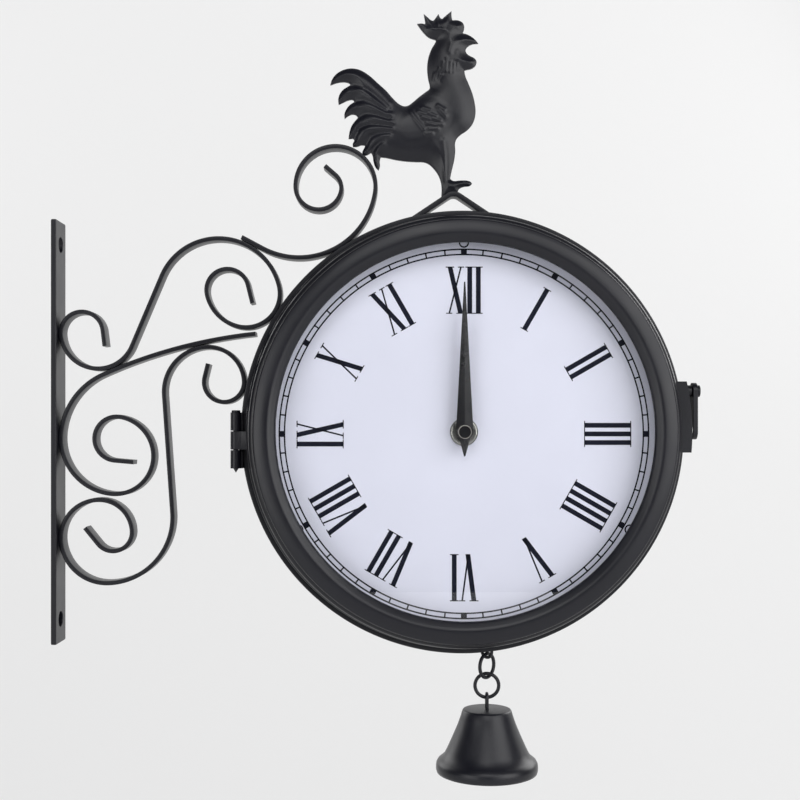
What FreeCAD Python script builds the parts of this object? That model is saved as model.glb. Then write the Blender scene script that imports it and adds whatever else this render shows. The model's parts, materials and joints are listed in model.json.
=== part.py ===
import FreeCAD, Part
import math
import os

# Double-sided wall clock: a round iron drum on a scrolled bracket, a rooster on top and a bell below.
# Millimetres. Origin on the wall plate's back face, X out from the wall, Y along the drum's axis
# (the front dial faces -Y), Z up. The drum's axis is level with the origin.

# Bracket sizes
plate_end_margin = 13.0
plate_width = 19.0
plate_thickness = 3.0
plate_corner_radius = 1.0
plate_hole_radius = 4.2
plate_hole_spacing = 208.0
bar_width = 10.0
bar_thickness = 2.4

# Scroll bars as bent on the bench, in pixels of the reference photograph, which are shares of the rim's
# radius there: where the bar starts, the way it heads in degrees from +X, then each bend as (radius,
# turn in degrees) or (0, straight run)
drum_center_px_shares = (462.5, 433.0)
plate_weld_px_share = 61.2
rim_weld_px_share = 222.9
upper_start_px_shares, upper_heading = (104.0, 347.0), 97.0
upper_bends_px_shares = [(0, 16), (21, 177), (37, 153), (0, 76), (62, -143), (33.8, -118), (42, -64),
                         (21, -178), (0, 19)]
middle_start_px_shares, middle_heading = (255.0, 334.7), 186.0
middle_bends_px_shares = [(505, 18), (71, 61), (56, 90), (38, 103), (40, 72), (22, 185), (0, 19)]
lower_start_px_shares, lower_heading = (209.0, 364.6), 256.0
lower_bends_px_shares = [(0, 14), (20, 197), (36, 93), (45, 88), (0, 118), (66, -93), (46, -86), (38, -96),
                         (33, -86), (19, -144), (0, 21)]
top_start_px_shares, top_heading = (242.0, 238.0), -28.0
top_bends_px_shares = [(0, 24), (77, 109), (40, 190), (23, 166), (17, 62), (0, 14)]

# Drum shell sizes: radii from the drum's axis, depths from the bracket's middle plane
rim_radius = 122.0
rim_thickness = 3.0
rim_depth = 14.0
wall_inset = 3.5
wall_thickness = 1.2
wall_corner_radius = 4.0
shoulder_depth = 3.0
front_flange_depth = 3.0
seam_gap = 0.5
dial_tab_width = 12.0
dial_tab_count = 4

# Bezel and glass sizes
bezel_lip_inset = 3.2
bezel_lip_height = 1.4
bezel_lip_step = 1.4
bezel_crest_inset = 6.7
bezel_height = 6.4
bezel_bevel_width = 5.6
bezel_inner_height = 3.6
bezel_bulge = 1.0
glass_hold = 3.2
glass_thickness = 1.6
glass_clearance = 0.3
gasket_width = 2.2
gasket_thickness = 0.6

# Dial sizes
dial_clearance = 2.3
dial_thickness = 0.8
dial_screw_inset = 2.4
dial_screw_radius = 1.5
dial_screw_head_radius = 2.6
dial_screw_head_height = 1.2
dial_screw_length = 4.0

# Quartz movement sizes, measured from its shaft
movement_above = 27.0
movement_below = 29.0
movement_depth = 15.0
movement_setback = 5.2
movement_wall = 1.5
bushing_radius = 4.0
bushing_length = 5.6
nut_radius = 7.6
nut_height = 2.6
running_clearance = 0.1
gear_gap = 0.4
battery_radius = 7.25
battery_length = 49.5
battery_nub_radius = 2.75
battery_nub_length = 1.0
contact_thickness = 0.5
contact_width = 10.0
battery_bay_clearance = 0.25
battery_spring_length = 1.5
board_width = 11.0
board_height = 30.0
board_thickness = 1.2
board_post_radius = 1.5
board_post_length = 5.0
coil_radius = 2.6
coil_length = 18.0

# Motion work: the minute arbor's pinion drives the minute wheel, whose pinion drives the hour wheel
arbor_radius = 1.0
hour_tube_wall = 0.7
gear_thickness = 1.2
gear_module = 0.5
cannon_teeth = 12
minute_wheel_teeth = 36
minute_pinion_teeth = 10
hour_wheel_teeth = 40
tooth_root_share = 0.28
tooth_tip_share = 0.1
addendum_share = 0.8
dedendum_share = 1.15
wheel_stud_radius = 0.8
knob_radius = 6.0
knob_height = 2.2
knob_gap = 0.4

# Hand sizes
minute_hand_length = 80.0
minute_hand_tail = 13.0
minute_hand_width = 9.0
hour_hand_length = 58.0
hour_hand_tail = 11.0
hour_hand_width = 9.0
hand_shoulder = 8.0
hand_edge = 0.4
hand_ridge = 1.0
hand_hub_radius = 4.6
hand_gap = 0.6
cap_radius = 3.9
cap_height = 1.8
cap_round = 1.2
cap_headroom = 0.8

# Hinge sizes
knuckle_radius = 3.0
hinge_pin_radius = 1.5
hinge_pin_clearance = 0.05
hinge_height = 31.0
hinge_drop = 4.6
hinge_stand_off = 2.2
knuckle_gap = 0.4
leaf_thickness = 1.4
leaf_depth = 12.0
pin_head_radius = 2.4
pin_head_height = 1.2

# Latch sizes
latch_plate_height = 38.0
latch_plate_bottom = -11.0
latch_pivot_height = 22.0
latch_reach = 21.0
latch_tip = 5.0
latch_width = 9.0
latch_thickness = 2.5
latch_stud_radius = 2.0
latch_head_radius = 3.2
latch_head_height = 1.5
latch_clearance = 0.3
latch_slot_clearance = 0.6

# Rooster sizes
rooster_plate_thickness = 4.0
rooster_body_thickness = 8.4
rooster_wing_thickness = 10.0
strap_width = 9.0
strap_thickness = 1.8
strap_span = 42.0
strap_rise = 14.0
strap_bend_radius = 6.0
strap_offset = -3.5

# The rooster's picture in pixels: its outline as (smooth or not, points), then its body and its wing
rooster_foot_px_shares = (456.0, 190.5)
rooster_outline_px_shares = [
    (False, [(430.5, 41), (426, 31), (416.8, 21), (425, 20.5), (424.5, 10.5), (433.6, 19.6), (437.8, 10.5),
             (442.8, 16.8), (451.9, 7.7), (453.3, 16.8), (460, 20), (464.5, 26.7)]),
    (True, [(464.5, 26.7), (470, 34), (479.2, 40)]),
    (False, [(479.2, 40), (466.6, 47.7)]),
    (True, [(466.6, 47.7), (474, 52), (477.1, 58.9), (474, 66), (468.7, 67.3), (465.9, 66)]),
    (True, [(465.9, 66), (472, 80), (475.7, 95.4), (476.4, 109.4), (468.7, 126.3), (456, 136)]),
    (False, [(456, 136), (455.8, 150), (451, 175.4), (454.7, 178.2), (472.2, 181.7), (458.2, 187.5),
             (456, 192.5), (446, 192.5), (440.6, 186.6), (436.4, 172.6), (429.4, 162.7)]),
    (True, [(429.4, 162.7), (415, 159.5), (401.4, 158.5), (381.7, 155)]),
    (False, [(381.7, 155), (378.9, 167.6), (372.6, 150), (364, 152), (363, 144), (356, 146), (357.5, 136),
             (348.8, 136), (353, 123), (344.6, 116.4), (350, 107), (338.2, 101.7), (345, 91),
             (329.8, 82.8)]),
    (True, [(329.8, 82.8), (337, 70.5), (350.9, 65.2), (362, 68.7), (383, 84.2), (398.6, 99.6), (407, 103),
            (416.8, 98.2), (428.7, 88.4)]),
    (True, [(428.7, 88.4), (427.3, 70.1), (427.3, 58.9), (430.8, 47.7), (430.5, 41)])]
rooster_body_px_shares = [
    (434, 62), (456, 66), (470, 95), (467, 117), (451, 134), (446, 150), (432, 152), (412, 146), (392, 140),
    (382, 118), (394, 108), (412, 109), (426, 100), (432, 80)]
rooster_wing_px_shares = [
    (448, 92), (460, 104), (452, 122), (428, 138), (404, 140), (392, 130), (410, 118), (430, 104)]

# Bell sizes, from its flat top down
bell_offset = 14.0
staple_wire_radius = 0.9
staple_spread = 6.6
staple_drop = 4.2
staple_leg_length = 6.0
ring_radius = 6.6
ring_wire_radius = 1.0
link_play = 0.15
upper_ring_turn = 50.0
bell_loop_width = 4.6
bell_loop_wire_radius = 0.9
bell_loop_height = 8.5
bell_loop_inner_drop = 3.5
bell_top_radius = 13.8
bell_waist_radius = 24.0
bell_lip_radius = 28.3
bell_height = 35.0
bell_lip_height = 9.0
bell_wall = 1.3
bell_edge_radius = 1.2
bell_flare = 0.7
bell_roll_shares = (0.75, 0.35)
clapper_eye_radius = 2.2
clapper_wire_radius = 0.7
clapper_rod_length = 22.0
clapper_ball_radius = 4.0

# Sizes worked out from those above
mm_per_px = (rim_radius + bar_thickness / 2) / rim_weld_px_share
drum_x = plate_thickness + bar_thickness / 2 + (drum_center_px_shares[0] - plate_weld_px_share) * mm_per_px
drum_center = FreeCAD.Vector(drum_x, 0, 0)
plate_length = plate_hole_spacing + 2 * plate_end_margin
flange_radius = rim_radius - rim_thickness
wall_radius = flange_radius - wall_inset
bezel_lip_radius = wall_radius - bezel_lip_inset
bezel_crest_radius = bezel_lip_radius - bezel_crest_inset
bezel_opening_radius = bezel_crest_radius - bezel_bevel_width
glass_radius = bezel_opening_radius + glass_hold
dial_radius = wall_radius - wall_thickness - dial_clearance
dial_screw_circle = dial_radius - dial_screw_inset
seam_depth = rim_depth / 2
dial_depth = movement_setback + movement_depth + dial_thickness
dial_back = dial_depth - dial_thickness
movement_front = dial_back
cell_space = battery_length + battery_nub_length + battery_spring_length + 2 * contact_thickness
movement_width = cell_space + 2 * movement_wall
movement_back = movement_setback
plate_inside = movement_front - movement_wall
hour_tube_radius = arbor_radius + running_clearance + hour_tube_wall
gear_center = gear_module * (cannon_teeth + minute_wheel_teeth) / 2
hour_module = 2 * gear_center / (minute_pinion_teeth + hour_wheel_teeth)
hour_wheel_level = plate_inside - gear_gap - gear_thickness
minute_wheel_level = hour_wheel_level - gear_gap - gear_thickness
bushing_end = movement_front + bushing_length
hand_thickness = hand_edge + hand_ridge
hour_hand_level = bushing_end + gear_gap / 2
minute_hand_level = hour_hand_level + hand_thickness + hand_gap
shell_depth = minute_hand_level + hand_thickness + cap_height + cap_headroom
glass_depth = shell_depth + gasket_thickness
bay_height = 2 * (battery_radius + battery_bay_clearance)
bay_floor_y = -movement_below + movement_wall
bay_top_y = bay_floor_y + bay_height
bay_wall_y = bay_top_y + movement_wall
battery_end = movement_width / 2 - movement_wall - contact_thickness - battery_nub_length
battery_y = (bay_floor_y + bay_top_y) / 2
battery_z = plate_inside - battery_radius - battery_bay_clearance
board_left = movement_width / 2 - movement_wall - battery_bay_clearance - board_width
board_low = (bay_wall_y + movement_above - movement_wall - board_height) / 2
hinge_x = -(rim_radius + hinge_stand_off)
hinge_y = -(seam_depth + seam_gap + knuckle_radius)
front_shoulder_top = seam_depth + seam_gap + front_flange_depth + shoulder_depth
hook_inside = rim_radius + latch_clearance + latch_slot_clearance / 2
hook_outside = hook_inside + latch_thickness
latch_plate_thickness = rim_radius - wall_radius - latch_clearance
keeper_y = 0
latch_pivot_y = keeper_y - latch_reach
strap_slope = math.atan2(strap_rise, strap_span / 2)
strap_foot = math.sqrt(rim_radius ** 2 - (strap_span / 2 + abs(strap_offset)) ** 2)
strap_peak = strap_foot + strap_rise - strap_bend_radius * (1 / math.cos(strap_slope) - 1)
strap_top = strap_peak + strap_thickness / 2
staple_bottom = -math.sqrt(rim_radius ** 2 - bell_offset ** 2) - staple_drop
upper_ring_center = staple_bottom + staple_wire_radius + ring_wire_radius + link_play - ring_radius
lower_ring_center = upper_ring_center + 2 * (ring_wire_radius - ring_radius) + link_play
loop_top = lower_ring_center - ring_radius + ring_wire_radius + bell_loop_wire_radius + link_play
bell_top = loop_top - bell_loop_height
loop_bottom = bell_top - bell_wall - bell_loop_inner_drop
clapper_hold = loop_bottom + bell_loop_wire_radius + clapper_wire_radius + link_play
clapper_eye_center = clapper_hold - clapper_eye_radius

os.makedirs("parts", exist_ok=True)

origin = FreeCAD.Vector(0, 0, 0)
x_axis = FreeCAD.Vector(1, 0, 0)
y_axis = FreeCAD.Vector(0, 1, 0)
z_axis = FreeCAD.Vector(0, 0, 1)


# Helpers

def save(shape, node):
    """Write one piece to its own file."""
    shape.exportStep("parts/" + node + ".step")


def flat(u, v):
    """A point of the XZ plane, where profiles and outlines are drawn."""
    return FreeCAD.Vector(u, 0, v)


def outline(steps):
    """A closed wire in the XZ plane: (u, v) ends a line, (mid u, mid v, end u, end v) ends an arc."""
    here = flat(*steps[0])
    edges = []
    for step in steps[1:] + [steps[0]]:
        there = flat(*step[-2:])
        if len(step) == 4:
            edges.append(Part.Arc(here, flat(*step[:2]), there).toShape())
        elif (there - here).Length > 0:
            edges.append(Part.LineSegment(here, there).toShape())
        here = there
    return Part.Wire(edges)


def turned(steps):
    """A body of revolution about Z from its half section, radius along X."""
    return Part.Face(outline(steps)).revolve(origin, z_axis, 360)


def tube(inner_radius, outer_radius, low, high):
    """A straight tube about Z, or a rod where the inner radius is 0."""
    return turned([(inner_radius, low), (outer_radius, low), (outer_radius, high), (inner_radius, high)])


def rod(radius, start, end):
    """A round rod between two points."""
    way = end - start
    return Part.makeCylinder(radius, way.Length, start, way)


def box(x0, x1, y0, y1, z0, z1):
    """A block between two opposite corners."""
    return Part.makeBox(x1 - x0, y1 - y0, z1 - z0, FreeCAD.Vector(x0, y0, z0))


def joined(shapes):
    """One solid fused from touching shapes, with its seams cleaned."""
    return shapes[0].fuse(shapes[1:]).removeSplitter()


def faced(shape, rear):
    """Turn a piece drawn with Z out of its dial to face the front (-Y) or the rear (+Y) of the drum."""
    placed = shape.copy()
    placed.rotate(origin, x_axis, 90)
    if rear:
        placed.rotate(origin, z_axis, 180)
    placed.translate(drum_center)
    return placed


def at_drum(shape):
    """Move a piece drawn about the drum's middle to its place."""
    placed = shape.copy()
    placed.translate(drum_center)
    return placed


def drum_patch(radius, thickness, side, y0, y1, z0, z1):
    """A curved plate on the drum's left (-1) or right (1) side, between two depths and two heights."""
    outer = radius + thickness
    skin = tube(radius, outer, y0, y1)
    skin.rotate(origin, x_axis, -90)
    window = box(min(0, side * outer), max(0, side * outer), y0, y1, z0, z1)
    return skin.common(window)


def half_loop(radius, wire_radius):
    """Half a ring of round wire in the XZ plane, hanging below its two ends."""
    section = Part.Face(Part.Wire(Part.makeCircle(wire_radius, FreeCAD.Vector(radius, 0, 0), z_axis)))
    return section.revolve(origin, y_axis, 180)


def ring(radius, wire_radius, turn, center):
    """A wire ring that stands in the XZ plane, turned about Z and moved to its centre."""
    shape = Part.makeTorus(radius, wire_radius, origin, y_axis)
    shape.rotate(origin, z_axis, turn)
    shape.translate(center)
    return shape


# Bracket

def wall_plate():
    """Flat bar against the wall, with two screw holes."""
    half_width, half_length = plate_width / 2, plate_length / 2
    bar = box(0, plate_thickness, -half_width, half_width, -half_length, half_length)
    across = [edge for edge in bar.Edges if edge.BoundBox.XLength > plate_thickness / 2]
    bar = bar.makeFillet(plate_corner_radius, across)
    for height in (-plate_hole_spacing / 2, plate_hole_spacing / 2):
        start = FreeCAD.Vector(0, 0, height)
        bar = bar.cut(rod(plate_hole_radius, start, start + x_axis * plate_thickness))
    return bar


def bent_bar(start, heading, bends, thickness, width):
    """A flat bar on edge, bent in the XZ plane along straight runs and arcs that meet tangent."""
    point = flat(*start)
    angle = math.radians(heading)
    sides = {thickness / 2: [], -thickness / 2: []}

    def beside(offset, place, way):
        return place + flat(-offset * math.sin(way), offset * math.cos(way))

    for radius, amount in bends:
        turn = 0 if radius == 0 else math.radians(amount)
        if radius == 0:
            end = point + flat(amount * math.cos(angle), amount * math.sin(angle))
        else:
            reach = math.copysign(radius, turn)
            center = beside(reach, point, angle)
            middle = beside(-reach, center, angle + turn / 2)
            end = beside(-reach, center, angle + turn)
        for offset, edges in sides.items():
            first, last = beside(offset, point, angle), beside(offset, end, angle + turn)
            if radius == 0:
                edges.append(Part.LineSegment(first, last).toShape())
            else:
                edges.append(Part.Arc(first, beside(offset, middle, angle + turn / 2), last).toShape())
        point, angle = end, angle + turn
    left, right = sides.values()
    caps = [Part.LineSegment(left[i].Vertexes[j].Point, right[i].Vertexes[j].Point).toShape()
            for i, j in ((0, 0), (-1, -1))]
    face = Part.Face(Part.Wire(Part.__sortEdges__(left + right + caps)))
    bar = face.extrude(y_axis * width)
    bar.translate(y_axis * (-width / 2))
    return bar


def scroll(start_px, heading, bends_px, on_plate):
    """One scroll of the bracket; those welded to the wall plate are set against its face."""
    start = (drum_x + (start_px[0] - drum_center_px_shares[0]) * mm_per_px,
             (drum_center_px_shares[1] - start_px[1]) * mm_per_px)
    bends = [(radius * mm_per_px, amount if radius else amount * mm_per_px) for radius, amount in bends_px]
    bar = bent_bar(start, heading, bends, bar_thickness, bar_width)
    if on_plate:
        bar.translate(x_axis * (plate_thickness - bar.optimalBoundingBox(False).XMin))
    return bar


# Drum shell, drawn with Z out of the dial

def shell(low, flange_top):
    """One pressed half of the drum: seam flange, shoulder, wall, rounded corner, face ring and dial tabs."""
    outer, inner = wall_radius, wall_radius - wall_thickness
    corner_r, corner_z = wall_radius - wall_corner_radius, shell_depth - wall_corner_radius
    lean = math.sqrt(0.5) * wall_corner_radius
    inner_lean = math.sqrt(0.5) * (wall_corner_radius - wall_thickness)
    shoulder_top = flange_top + shoulder_depth
    opening, inner_face = glass_radius - gasket_width, shell_depth - wall_thickness
    inner_flange = flange_radius - wall_thickness
    body = turned([
        (flange_radius, low), (flange_radius, flange_top), (outer, shoulder_top), (outer, corner_z),
        (corner_r + lean, corner_z + lean, corner_r, shell_depth), (opening, shell_depth),
        (opening, inner_face), (corner_r, inner_face),
        (corner_r + inner_lean, corner_z + inner_lean, inner, corner_z), (inner, shoulder_top),
        (inner_flange, flange_top), (inner_flange, low)])
    tabs = []
    for i in range(dial_tab_count):
        tab = box(dial_screw_circle - dial_tab_width / 2, inner + wall_thickness / 2, -dial_tab_width / 2,
                  dial_tab_width / 2, dial_back - wall_thickness, dial_back)
        tab.rotate(origin, z_axis, tab_angle(i))
        tabs.append(tab)
    return joined([body] + tabs).cut(dial_screws())


def tab_angle(i):
    """Where round the dial its fixing tabs stand, in degrees."""
    return 360 / dial_tab_count * (i + 0.5)


def dial_screws():
    """Screws that hold the dial to its tabs, one solid each."""
    screws = []
    for i in range(dial_tab_count):
        screw = joined([tube(0, dial_screw_radius, dial_depth - dial_screw_length, dial_depth),
                        tube(0, dial_screw_head_radius, dial_depth, dial_depth + dial_screw_head_height)])
        screw.translate(x_axis * dial_screw_circle)
        screw.rotate(origin, z_axis, tab_angle(i))
        screws.append(screw)
    return Part.makeCompound(screws)


def bezel():
    """Cast ring over the glass: outer lip, round shoulder, crest and a bevel down to the opening."""
    base, glass_top = shell_depth, glass_depth + glass_thickness
    shoulder_r, shoulder_z = bezel_lip_radius - bezel_lip_step, base + bezel_lip_height
    crest_z = base + bezel_height
    rabbet = glass_radius + glass_clearance
    bulge_r = (shoulder_r + bezel_crest_radius) / 2 + bezel_bulge
    bulge_z = (shoulder_z + crest_z) / 2 + bezel_bulge
    return turned([
        (rabbet, base), (bezel_lip_radius, base), (bezel_lip_radius, shoulder_z), (shoulder_r, shoulder_z),
        (bulge_r, bulge_z, bezel_crest_radius, crest_z), (bezel_opening_radius, base + bezel_inner_height),
        (bezel_opening_radius, glass_top), (rabbet, glass_top)])


def glass():
    """Flat glass disc."""
    return tube(0, glass_radius, glass_depth, glass_depth + glass_thickness)


def gasket():
    """Rubber ring between the glass and the drum's face ring."""
    return tube(glass_radius - gasket_width, glass_radius, shell_depth, glass_depth)


def dial():
    """Sheet dial with its shaft and screw holes."""
    disc = tube(bushing_radius + running_clearance, dial_radius, dial_back, dial_depth)
    return disc.cut(dial_screws())


# Quartz movement, drawn with Z out of the dial and the shaft on the Z axis

def movement_case():
    """Moulded tray with a gear bay, a battery bay, the threaded bushing, a wheel stud and board posts."""
    half, wall_z = movement_width / 2, movement_back + movement_wall
    inside = half - movement_wall
    tray = box(-half, half, -movement_below, movement_above, wall_z, movement_front)
    tray = tray.cut(box(-inside, inside, bay_wall_y, movement_above - movement_wall, wall_z, plate_inside))
    tray = tray.cut(box(-inside, inside, bay_floor_y, bay_top_y, wall_z, plate_inside))
    bushing = tube(0, bushing_radius, movement_front, bushing_end)
    stud_top = FreeCAD.Vector(0, gear_center, plate_inside)
    stud = rod(wheel_stud_radius, stud_top, stud_top - z_axis * (plate_inside - minute_wheel_level))
    posts = []
    for y in (board_low + board_post_radius, board_low + board_height - board_post_radius):
        top = FreeCAD.Vector(board_left + board_width / 2, y, plate_inside)
        posts.append(rod(board_post_radius, top, top - z_axis * board_post_length))
    bore = tube(0, hour_tube_radius + running_clearance, plate_inside, bushing_end)
    return joined([tray, bushing, stud] + posts).cut(bore)


def movement_cover():
    """Back cover of the gear bay, with bosses that carry the arbor and the minute wheel."""
    half = movement_width / 2
    sheet = box(-half, half, bay_top_y, movement_above, movement_back, movement_back + movement_wall)
    boss_top = minute_wheel_level - gear_gap / 2
    arbor_boss = tube(0, arbor_radius + movement_wall, movement_back, boss_top)
    wheel_boss = tube(0, wheel_stud_radius + movement_wall, movement_back, boss_top)
    wheel_boss.translate(y_axis * gear_center)
    bore = tube(0, arbor_radius + running_clearance, movement_back, boss_top)
    return joined([sheet, arbor_boss, wheel_boss]).cut(bore)


def battery():
    """Dry cell lying across the lower bay."""
    tip = FreeCAD.Vector(battery_end + battery_nub_length, battery_y, battery_z)
    shoulder = tip - x_axis * battery_nub_length
    cell = rod(battery_radius, shoulder - x_axis * battery_length, shoulder)
    return joined([cell, rod(battery_nub_radius, shoulder, tip)])


def battery_contacts():
    """A leaf at each end of the cell, the negative one with a spring cup that presses on it."""
    half, reach = contact_width / 2, movement_width / 2 - movement_wall
    y0, y1, z0, z1 = battery_y - half, battery_y + half, battery_z - half, battery_z + half
    positive = box(reach - contact_thickness, reach, y0, y1, z0, z1)
    leaf = box(-reach, contact_thickness - reach, y0, y1, z0, z1)
    cup_start = FreeCAD.Vector(contact_thickness - reach, battery_y, battery_z)
    cup_end = FreeCAD.Vector(battery_end - battery_length, battery_y, battery_z)
    cup = rod(battery_nub_radius, cup_start, cup_end)
    return Part.makeCompound([positive, joined([leaf, cup])])


def circuit_board():
    """Circuit board on its two posts, with the drive coil wound on its back."""
    top = plate_inside - board_post_length
    bottom = top - board_thickness
    board = box(board_left, board_left + board_width, board_low, board_low + board_height, bottom, top)
    coil_start = FreeCAD.Vector(board_left + board_width / 2, board_low + (board_height - coil_length) / 2,
                                bottom - coil_radius)
    coil = rod(coil_radius, coil_start, coil_start + y_axis * coil_length)
    return Part.makeCompound([board, coil])


def shaft_nut():
    """Round nut that clamps the dial to the movement's bushing."""
    return tube(bushing_radius, nut_radius, dial_depth, dial_depth + nut_height)


def gear(teeth, module, low, high, first_tooth):
    """A spur wheel with straight-sided teeth, one of them at the angle given in degrees."""
    pitch = 2 * math.pi / teeth
    root, tip = module * (teeth / 2 - dedendum_share), module * (teeth / 2 + addendum_share)
    corners = [(root, -tooth_root_share), (tip, -tooth_tip_share), (tip, tooth_tip_share),
               (root, tooth_root_share)]
    points = []
    for i in range(teeth):
        for radius, share in corners:
            angle = math.radians(first_tooth) + pitch * (i + share)
            points.append(FreeCAD.Vector(radius * math.cos(angle), radius * math.sin(angle), low))
    return Part.Face(Part.makePolygon(points + points[:1])).extrude(z_axis * (high - low))


def minute_arbor():
    """Centre shaft with its pinion and the setting knob behind the movement."""
    knob_top = movement_back - knob_gap
    shaft = tube(0, arbor_radius, knob_top - knob_height, minute_hand_level + hand_thickness)
    knob = tube(0, knob_radius, knob_top - knob_height, knob_top)
    pinion = gear(cannon_teeth, gear_module, minute_wheel_level, minute_wheel_level + gear_thickness, 90)
    return joined([shaft, knob, pinion])


def minute_wheel():
    """Wheel and pinion on the stud above the shaft; a gap of the wheel faces the arbor's tooth."""
    low, top = minute_wheel_level, hour_wheel_level + gear_thickness
    wheel = gear(minute_wheel_teeth, gear_module, low, low + gear_thickness, 270 + 180 / minute_wheel_teeth)
    pinion = gear(minute_pinion_teeth, hour_module, low, top, 270)
    bore = tube(0, wheel_stud_radius + running_clearance, low, top)
    shape = joined([wheel, pinion]).cut(bore)
    shape.translate(y_axis * gear_center)
    return shape


def hour_wheel():
    """Wheel with the tube that carries the hour hand; a gap of the wheel faces the pinion's tooth."""
    wheel = gear(hour_wheel_teeth, hour_module, hour_wheel_level, hour_wheel_level + gear_thickness,
                 90 + 180 / hour_wheel_teeth)
    pipe_end = hour_hand_level + hand_thickness
    pipe = tube(0, hour_tube_radius, hour_wheel_level, pipe_end)
    bore = tube(0, arbor_radius + running_clearance, hour_wheel_level, pipe_end)
    return joined([wheel, pipe]).cut(bore)


def hand(length, tail, width, level, bore_radius):
    """Lance hand at twelve o'clock: a thin kite with a raised ridge and a round hub."""
    tips = [FreeCAD.Vector(0, length, hand_edge), FreeCAD.Vector(width / 2, hand_shoulder, hand_edge),
            FreeCAD.Vector(0, -tail, hand_edge), FreeCAD.Vector(-width / 2, hand_shoulder, hand_edge)]
    kite = Part.Face(Part.makePolygon(tips + tips[:1]))
    crest = FreeCAD.Vector(0, hand_shoulder, hand_thickness)
    facets = [Part.Face(Part.makePolygon([a, b, crest, a])) for a, b in zip(tips, tips[1:] + tips[:1])]
    roof = Part.Solid(Part.Shell([kite] + facets))
    blade = kite.extrude(z_axis * -hand_edge)
    hub = tube(0, hand_hub_radius, 0, hand_thickness)
    shape = joined([blade, roof, hub]).cut(tube(0, bore_radius, 0, hand_thickness))
    shape.translate(z_axis * level)
    return shape


def hand_cap():
    """Domed cap over the shaft's end."""
    low = minute_hand_level + hand_thickness
    lean = cap_round * math.sqrt(0.5)
    side, top = cap_radius - cap_round, low + cap_height
    return turned([(0, low), (cap_radius, low), (cap_radius, top - cap_round),
                   (side + lean, top - cap_round + lean, side, top), (0, top)])


# Rim, hinge and latch, drawn about the drum's middle

def rim_band():
    """Flat hoop round the seam, to which the scrolls, rooster, bell and rear shell are fixed."""
    hoop = tube(flange_radius, rim_radius, -seam_depth, seam_depth)
    hoop.rotate(origin, x_axis, 90)
    return hoop


def knuckle(i):
    """Height range of one of the hinge's three knuckles: 0 lowest, 1 middle, 2 highest."""
    low = -hinge_drop - hinge_height / 2
    third = hinge_height / 3
    return low + third * i + knuckle_gap / 2, low + third * (i + 1) - knuckle_gap / 2


def hinge_barrel(radius, low, high):
    """A round bar on the hinge's axis."""
    return rod(radius, FreeCAD.Vector(hinge_x, hinge_y, low), FreeCAD.Vector(hinge_x, hinge_y, high))


def rear_hinge_leaf():
    """Leaf on the rim with the upper and lower knuckles."""
    low, high = knuckle(0)[0], knuckle(2)[1]
    pieces = [drum_patch(rim_radius, leaf_thickness, -1, -seam_depth, leaf_depth - seam_depth, low, high)]
    tongue_x = -rim_radius - leaf_thickness
    for i in (0, 2):
        z0, z1 = knuckle(i)
        pieces.append(box(tongue_x, leaf_thickness - rim_radius, hinge_y, -seam_depth, z0, z1))
        pieces.append(hinge_barrel(knuckle_radius, z0, z1))
    return joined(pieces).cut(hinge_barrel(hinge_pin_radius, low, high))


def front_hinge_leaf():
    """Leaf on the front shell's wall, joggled out over its flange to the middle knuckle."""
    low, high = knuckle(0)[0], knuckle(2)[1]
    z0, z1 = knuckle(1)
    leaf_y = -front_shoulder_top
    riser_y = leaf_y - leaf_thickness
    out_y = hinge_y - knuckle_radius
    riser_x = -(flange_radius + seam_gap)
    pieces = [drum_patch(wall_radius, leaf_thickness, -1, leaf_y - leaf_depth, leaf_y, low, high),
              box(riser_x, seam_gap - wall_radius - leaf_thickness, riser_y, leaf_y, z0, z1),
              box(riser_x - leaf_thickness, riser_x, riser_y, out_y + leaf_thickness, z0, z1),
              box(hinge_x, riser_x, out_y, out_y + leaf_thickness, z0, z1),
              hinge_barrel(knuckle_radius, z0, z1)]
    return joined(pieces).cut(hinge_barrel(hinge_pin_radius + hinge_pin_clearance, z0, z1))


def hinge_pin():
    """Hinge pin with a flat head above and a pointed end below."""
    low, high = knuckle(0)[0], knuckle(2)[1]
    tip = FreeCAD.Vector(hinge_x, hinge_y, low - pin_head_radius)
    point = Part.makeCone(0, hinge_pin_radius, pin_head_radius, tip)
    return joined([hinge_barrel(hinge_pin_radius, low, high), point,
                   hinge_barrel(pin_head_radius, high, high + pin_head_height)])


def latch_plate():
    """Curved block on the front shell's right side that carries the latch, almost as proud as the rim."""
    plate = drum_patch(wall_radius, latch_plate_thickness, 1, latch_pivot_y - leaf_depth / 2, -front_shoulder_top,
                       latch_plate_bottom, latch_plate_bottom + latch_plate_height)
    return plate.cut(latch_pivot())


def latch_stud(y, foot, collar):
    """A headed stud along X at the latch's height, from its riveted foot to its head, with a collar."""
    head_in = hook_outside + latch_clearance
    pieces = [rod(latch_stud_radius, latch_point(foot, y), latch_point(head_in, y)),
              rod(latch_head_radius, latch_point(head_in, y), latch_point(head_in + latch_head_height, y))]
    if collar:
        collar_end = latch_point(hook_inside - latch_clearance, y)
        pieces.append(rod(latch_head_radius, latch_point(collar, y), collar_end))
    return joined(pieces)


def latch_point(x, y):
    """A point at the height of the latch's pivot and keeper."""
    return FreeCAD.Vector(x, y, latch_pivot_height)


def latch_pivot():
    """Shouldered rivet that the hook turns on."""
    outside = math.sqrt((wall_radius + latch_plate_thickness) ** 2 - latch_pivot_height ** 2)
    return latch_stud(latch_pivot_y, outside - 2 * latch_stud_radius, outside)


def keeper_stud():
    """Headed stud on the rim that the hook closes round."""
    inside = math.sqrt((flange_radius - wall_thickness) ** 2 - latch_pivot_height ** 2)
    return latch_stud(keeper_y, inside - latch_clearance, 0)


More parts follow.
